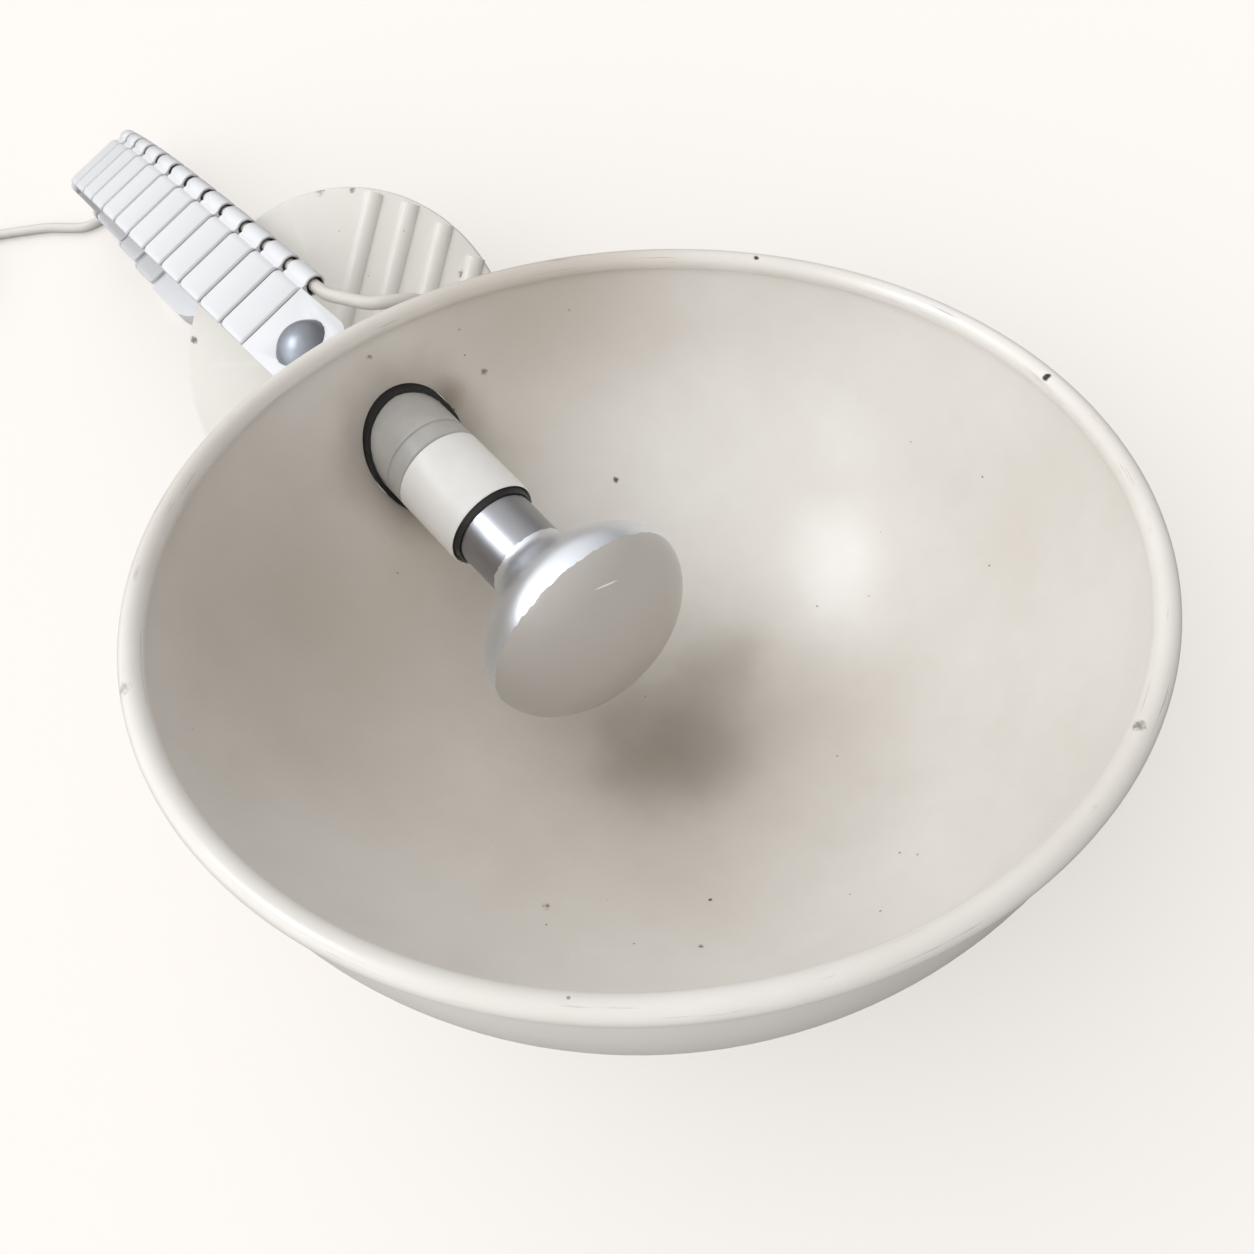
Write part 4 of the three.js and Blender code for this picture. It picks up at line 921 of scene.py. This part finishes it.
class LAMP_OT_bulb(bpy.types.Operator):
    """Turns the reflector bulb's glass and its screw cap."""

    bl_idname = "lamp.bulb"
    bl_label = "Reflector bulb"

    def execute(self, context):
        sizes = context.scene.lamp_sizes
        globe, neck = sizes.bulb_radius / MM, sizes.bulb_neck / MM
        outer = [(50, 14.6), (52, 15.9), (56, neck - 0.6), (62, neck), (74, neck), (84, neck - 0.1)]
        # station, and the share of the way from the neck's radius to the globe's
        flare = [(86, 0.0), (88, 0.008), (90, 0.035), (92, 0.085), (94, 0.15), (96, 0.23), (98, 0.32),
                 (100, 0.41), (102, 0.5), (104, 0.585), (106, 0.665), (108, 0.74), (110, 0.805), (112, 0.86),
                 (114, 0.905), (116, 0.942), (118, 0.968), (120, 0.987), (122, 0.997)]
        outer += [(s, neck + (globe - neck) * share) for s, share in flare]
        for i in range(1, 19):
            a = math.pi / 2 * i / 18
            outer.append((WIDEST + FRONT * math.sin(a) ** 1.06, globe * math.cos(a) if i < 18 else 0))
        inner = [(s - (GLASS if s > WIDEST else 0), max(0, r - GLASS)) for s, r in outer[:-1]]
        inner.append((WIDEST + FRONT - GLASS, 0))
        glass = turned("bulb_globe", list(reversed(outer)) + inner, DOME, 96, 50)
        hand_over(glass, "bulb", "bulb glass", "bulb_glass", "bulb_glass")
        cap = [(29, 0), (29, 10.4), (31, 12.2)]
        for i in range(5):
            s = 32.5 + 3.2 * i
            cap += [(s, 12.6), (s + 0.8, 13.4), (s + 1.6, 13.4), (s + 2.4, 12.6)]
        cap += [(49.2, 13.3), (49.7, 13.0), (49.7, 0)]
        screw = turned("bulb_cap", cap, DOME, 64)
        hand_over(screw, "bulb", "cap metal", "bulb_cap", "bulb_screw_cap")
        return {"FINISHED"}


class LAMP_OT_base(bpy.types.Operator):
    """Finishes the ribbed round base and its boss."""

    bl_idname = "lamp.base"
    bl_label = "Round base"

    def execute(self, context):
        place = scaled_place(LOWER_BALL) @ Vector((0, 0, 1)).rotation_difference(BASE_NORMAL).to_matrix().to_4x4()
        disc_place = place @ scaled_place((-2.8, 21.4, 0)) @ turn(25.3, "Z")
        back, face, radius = 23.2, 27.2, 86.5
        disc = turned("base_plate", [
            (back, 0), (back, radius - 1.6), (back + 0.5, radius - 0.5), (back + 1.6, radius),
            (face - 1.6, radius), (face - 0.5, radius - 0.5), (face, radius - 1.6), (face, 0),
        ], disc_place @ turn(-90, "Y"), 144)
        for i in range(5):
            x = -6.6 + 19.7 * i
            half = math.sqrt((radius - 2.2) ** 2 - x * x)
            rib = rounded_rib(f"rib_{i}", half, 9.7 / 2, 3.4)
            set_place(rib, disc_place @ scaled_place((x, 0, face)) @ turn(90, "Z"))
            combine(disc, rib, "UNION")
        smooth_by(disc, 35)
        hand_over(disc, "base", "base white paint", "disc_white", "base_disc")
        rounded_copy("boss", "base_boss", "base", "base white paint", "disc_white", 0.4, 2, 45)
        return {"FINISHED"}


def rounded_rib(name, half_length, half_width, rise):
    """A half-round rib along X that rises from just under the face."""
    clear_selection()
    bpy.ops.mesh.primitive_cylinder_add(vertices=40, radius=half_width * MM, depth=2 * half_length * MM,
                                        rotation=(0, math.pi / 2, 0))
    piece = bpy.context.object
    piece.name = name
    bpy.ops.object.transform_apply(location=True, rotation=True, scale=True)
    bpy.ops.object.mode_set(mode="EDIT")
    bpy.ops.transform.resize(value=(1, 1, rise / half_width))
    bpy.ops.mesh.bisect(plane_co=(0, 0, -0.3 * MM), plane_no=(0, 0, -1), clear_outer=True, use_fill=True)
    bpy.ops.object.mode_set(mode="OBJECT")
    bevel(piece, 0.8, 3, 60)
    return piece


def channel_point(k, station):
    """The middle of the cable's channel in a link, at a station along it."""
    s = math.radians(SLOPES[k])
    out = Vector((-math.sin(s), 0, math.cos(s))) * TUBE_Z
    return HINGES[k] + Vector((-station * math.cos(s), TUBE_Y, -station * math.sin(s))) + out


def lead_points():
    """The lead from the arm to the plug: over the floor, round the flat coil, and out to the plug."""
    route = [channel_point(UPPER_LINKS - 1, PITCH - TUBE_GAP + 0.3)]
    route += [Vector(p) for p in (
        (-104.5, 24, 36.8), (-113, 22, 29), (-117.5, 15, 18.5), (-116, 4, 9.5), (-112.5, -8, 4.4),
        (-112, -20, FLOOR_Z), (-117, -31.5, FLOOR_Z), (-128, -40, FLOOR_Z), (-140.5, -48.4, FLOOR_Z),
        (-155, -61, FLOOR_Z), (-168.5, -73.5, FLOOR_Z))]
    entry = route[-1] + LEAD_HEADING * 56
    route += [entry - LEAD_HEADING * 28, entry - LEAD_HEADING * 6]
    inner, step, turns, layer, steps = 24, 7.4, 3.25, 7.2, 24
    outer = inner + turns * step
    side = Vector((-LEAD_HEADING.y, LEAD_HEADING.x, 0))
    middle = entry + side * outer
    first = math.atan2(-side.y, -side.x)
    count = round((2 * turns + 0.5) * steps)
    for i in range(count + 1):
        at = i / steps
        out_of = max(0, at - turns - 0.5)
        climb = min(1, max(0, (at - turns) / 0.5))
        r = outer - (min(at, turns) - out_of) * step
        a = first + 2 * math.pi * min(at, 2 * turns + 0.5)
        route.append(middle + Vector((r * math.cos(a), r * math.sin(a), layer * climb)))
    end = route[-1]
    plug = end + LEAD_HEADING * 62
    plug.z = 13.7 / 2 + 0.05
    route += [end + LEAD_HEADING * 6, end + LEAD_HEADING * 12, plug - LEAD_HEADING * 26,
              plug - LEAD_HEADING * 12, plug - LEAD_HEADING * 0.3]
    return [p * MM for p in route]


class LAMP_OT_cables(bpy.types.Operator):
    """Lays the lead, the short cable at the shade and the cable inside the arm."""

    bl_idname = "lamp.cables"
    bl_label = "Cables"

    def execute(self, context):
        radius = context.scene.lamp_sizes.cable_radius
        points = lead_points()
        lead = cable("lead", points, radius, "lower_plate", "lead_cord", "cord_coil", "cord_tail")
        bridge = [channel_point(0, TUBE_GAP - 0.3) * MM] + [Vector(p) * MM for p in (
            (186, 24.6, 116.8), (197, 28.5, 118), (208, 34, 117.5), (213.5, 41, 115.3), (216, 48.5, 109.5),
            (216, 53, 101), (213.5, 51, 92), (210.5, 44.5, 87))]
        bridge += [HEAD @ (Vector((-42, y, 0)) * MM) for y in (30, 18)]
        short = cable("bridge", bridge, radius, "end_plate", "bridge_cable")
        inside = [channel_point(0, TUBE_GAP)] + [channel_point(k, PITCH / 2) for k in range(UPPER_LINKS)]
        inside.append(channel_point(UPPER_LINKS - 1, PITCH - TUBE_GAP))
        cable("arm_run", [p * MM for p in inside], radius, "link_06", "arm_cable")
        return {"FINISHED"}


class LAMP_OT_plug(bpy.types.Operator):
    """Finishes the plug, its strain relief and pins."""

    bl_idname = "lamp.plug"
    bl_label = "Plug"

    def execute(self, context):
        for node, finish in (("plug_body", "plug white plastic"), ("plug_relief", "plug white plastic"),
                             ("plug_pin_1", "pin metal"), ("plug_pin_2", "pin metal")):
            put_on(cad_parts[node], finish)
        return {"FINISHED"}


class LAMP_OT_contacts(bpy.types.Operator):
    """Gives the contacts inside the holder their metal."""

    bl_idname = "lamp.contacts"
    bl_label = "Contacts"

    def execute(self, context):
        for node in ("thread_shell", "centre_contact", "bulb_tip"):
            put_on(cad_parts[node], "brass")
        return {"FINISHED"}


STEPS = ("stage", "cables", "arm_links", "plates", "balls", "holder", "shade", "bulb", "base", "plug", "contacts")


class LAMP_PT_panel(bpy.types.Panel):
    """Sizes, colours and building steps of the lamp."""

    bl_idname = "LAMP_PT_panel"
    bl_label = "Hinged-link lamp"
    bl_space_type = "VIEW_3D"
    bl_region_type = "UI"
    bl_category = "Lamp"

    def draw(self, context):
        for owner in (context.scene.lamp_sizes, context.scene.lamp_colours):
            box = self.layout.box()
            for name in owner.bl_rna.properties.keys():
                if name not in ("rna_type", "name"):
                    box.prop(owner, name)
        for step in STEPS:
            self.layout.operator(f"lamp.{step}")


CLASSES = (
    LampSizes, LampColours, LAMP_OT_stage, LAMP_OT_cables, LAMP_OT_arm_links, LAMP_OT_plates, LAMP_OT_balls,
    LAMP_OT_holder, LAMP_OT_shade, LAMP_OT_bulb, LAMP_OT_base, LAMP_OT_plug, LAMP_OT_contacts, LAMP_PT_panel,
)


def register():
    for one in CLASSES:
        bpy.utils.register_class(one)
    bpy.types.Scene.lamp_sizes = bpy.props.PointerProperty(type=LampSizes)
    bpy.types.Scene.lamp_colours = bpy.props.PointerProperty(type=LampColours)


def unregister():
    del bpy.types.Scene.lamp_colours
    del bpy.types.Scene.lamp_sizes
    for one in reversed(CLASSES):
        bpy.utils.unregister_class(one)


def main():
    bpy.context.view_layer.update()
    register()
    make_finishes()
    for step in STEPS:
        getattr(bpy.ops.lamp, step)()


if __name__ == "__main__":
    main()
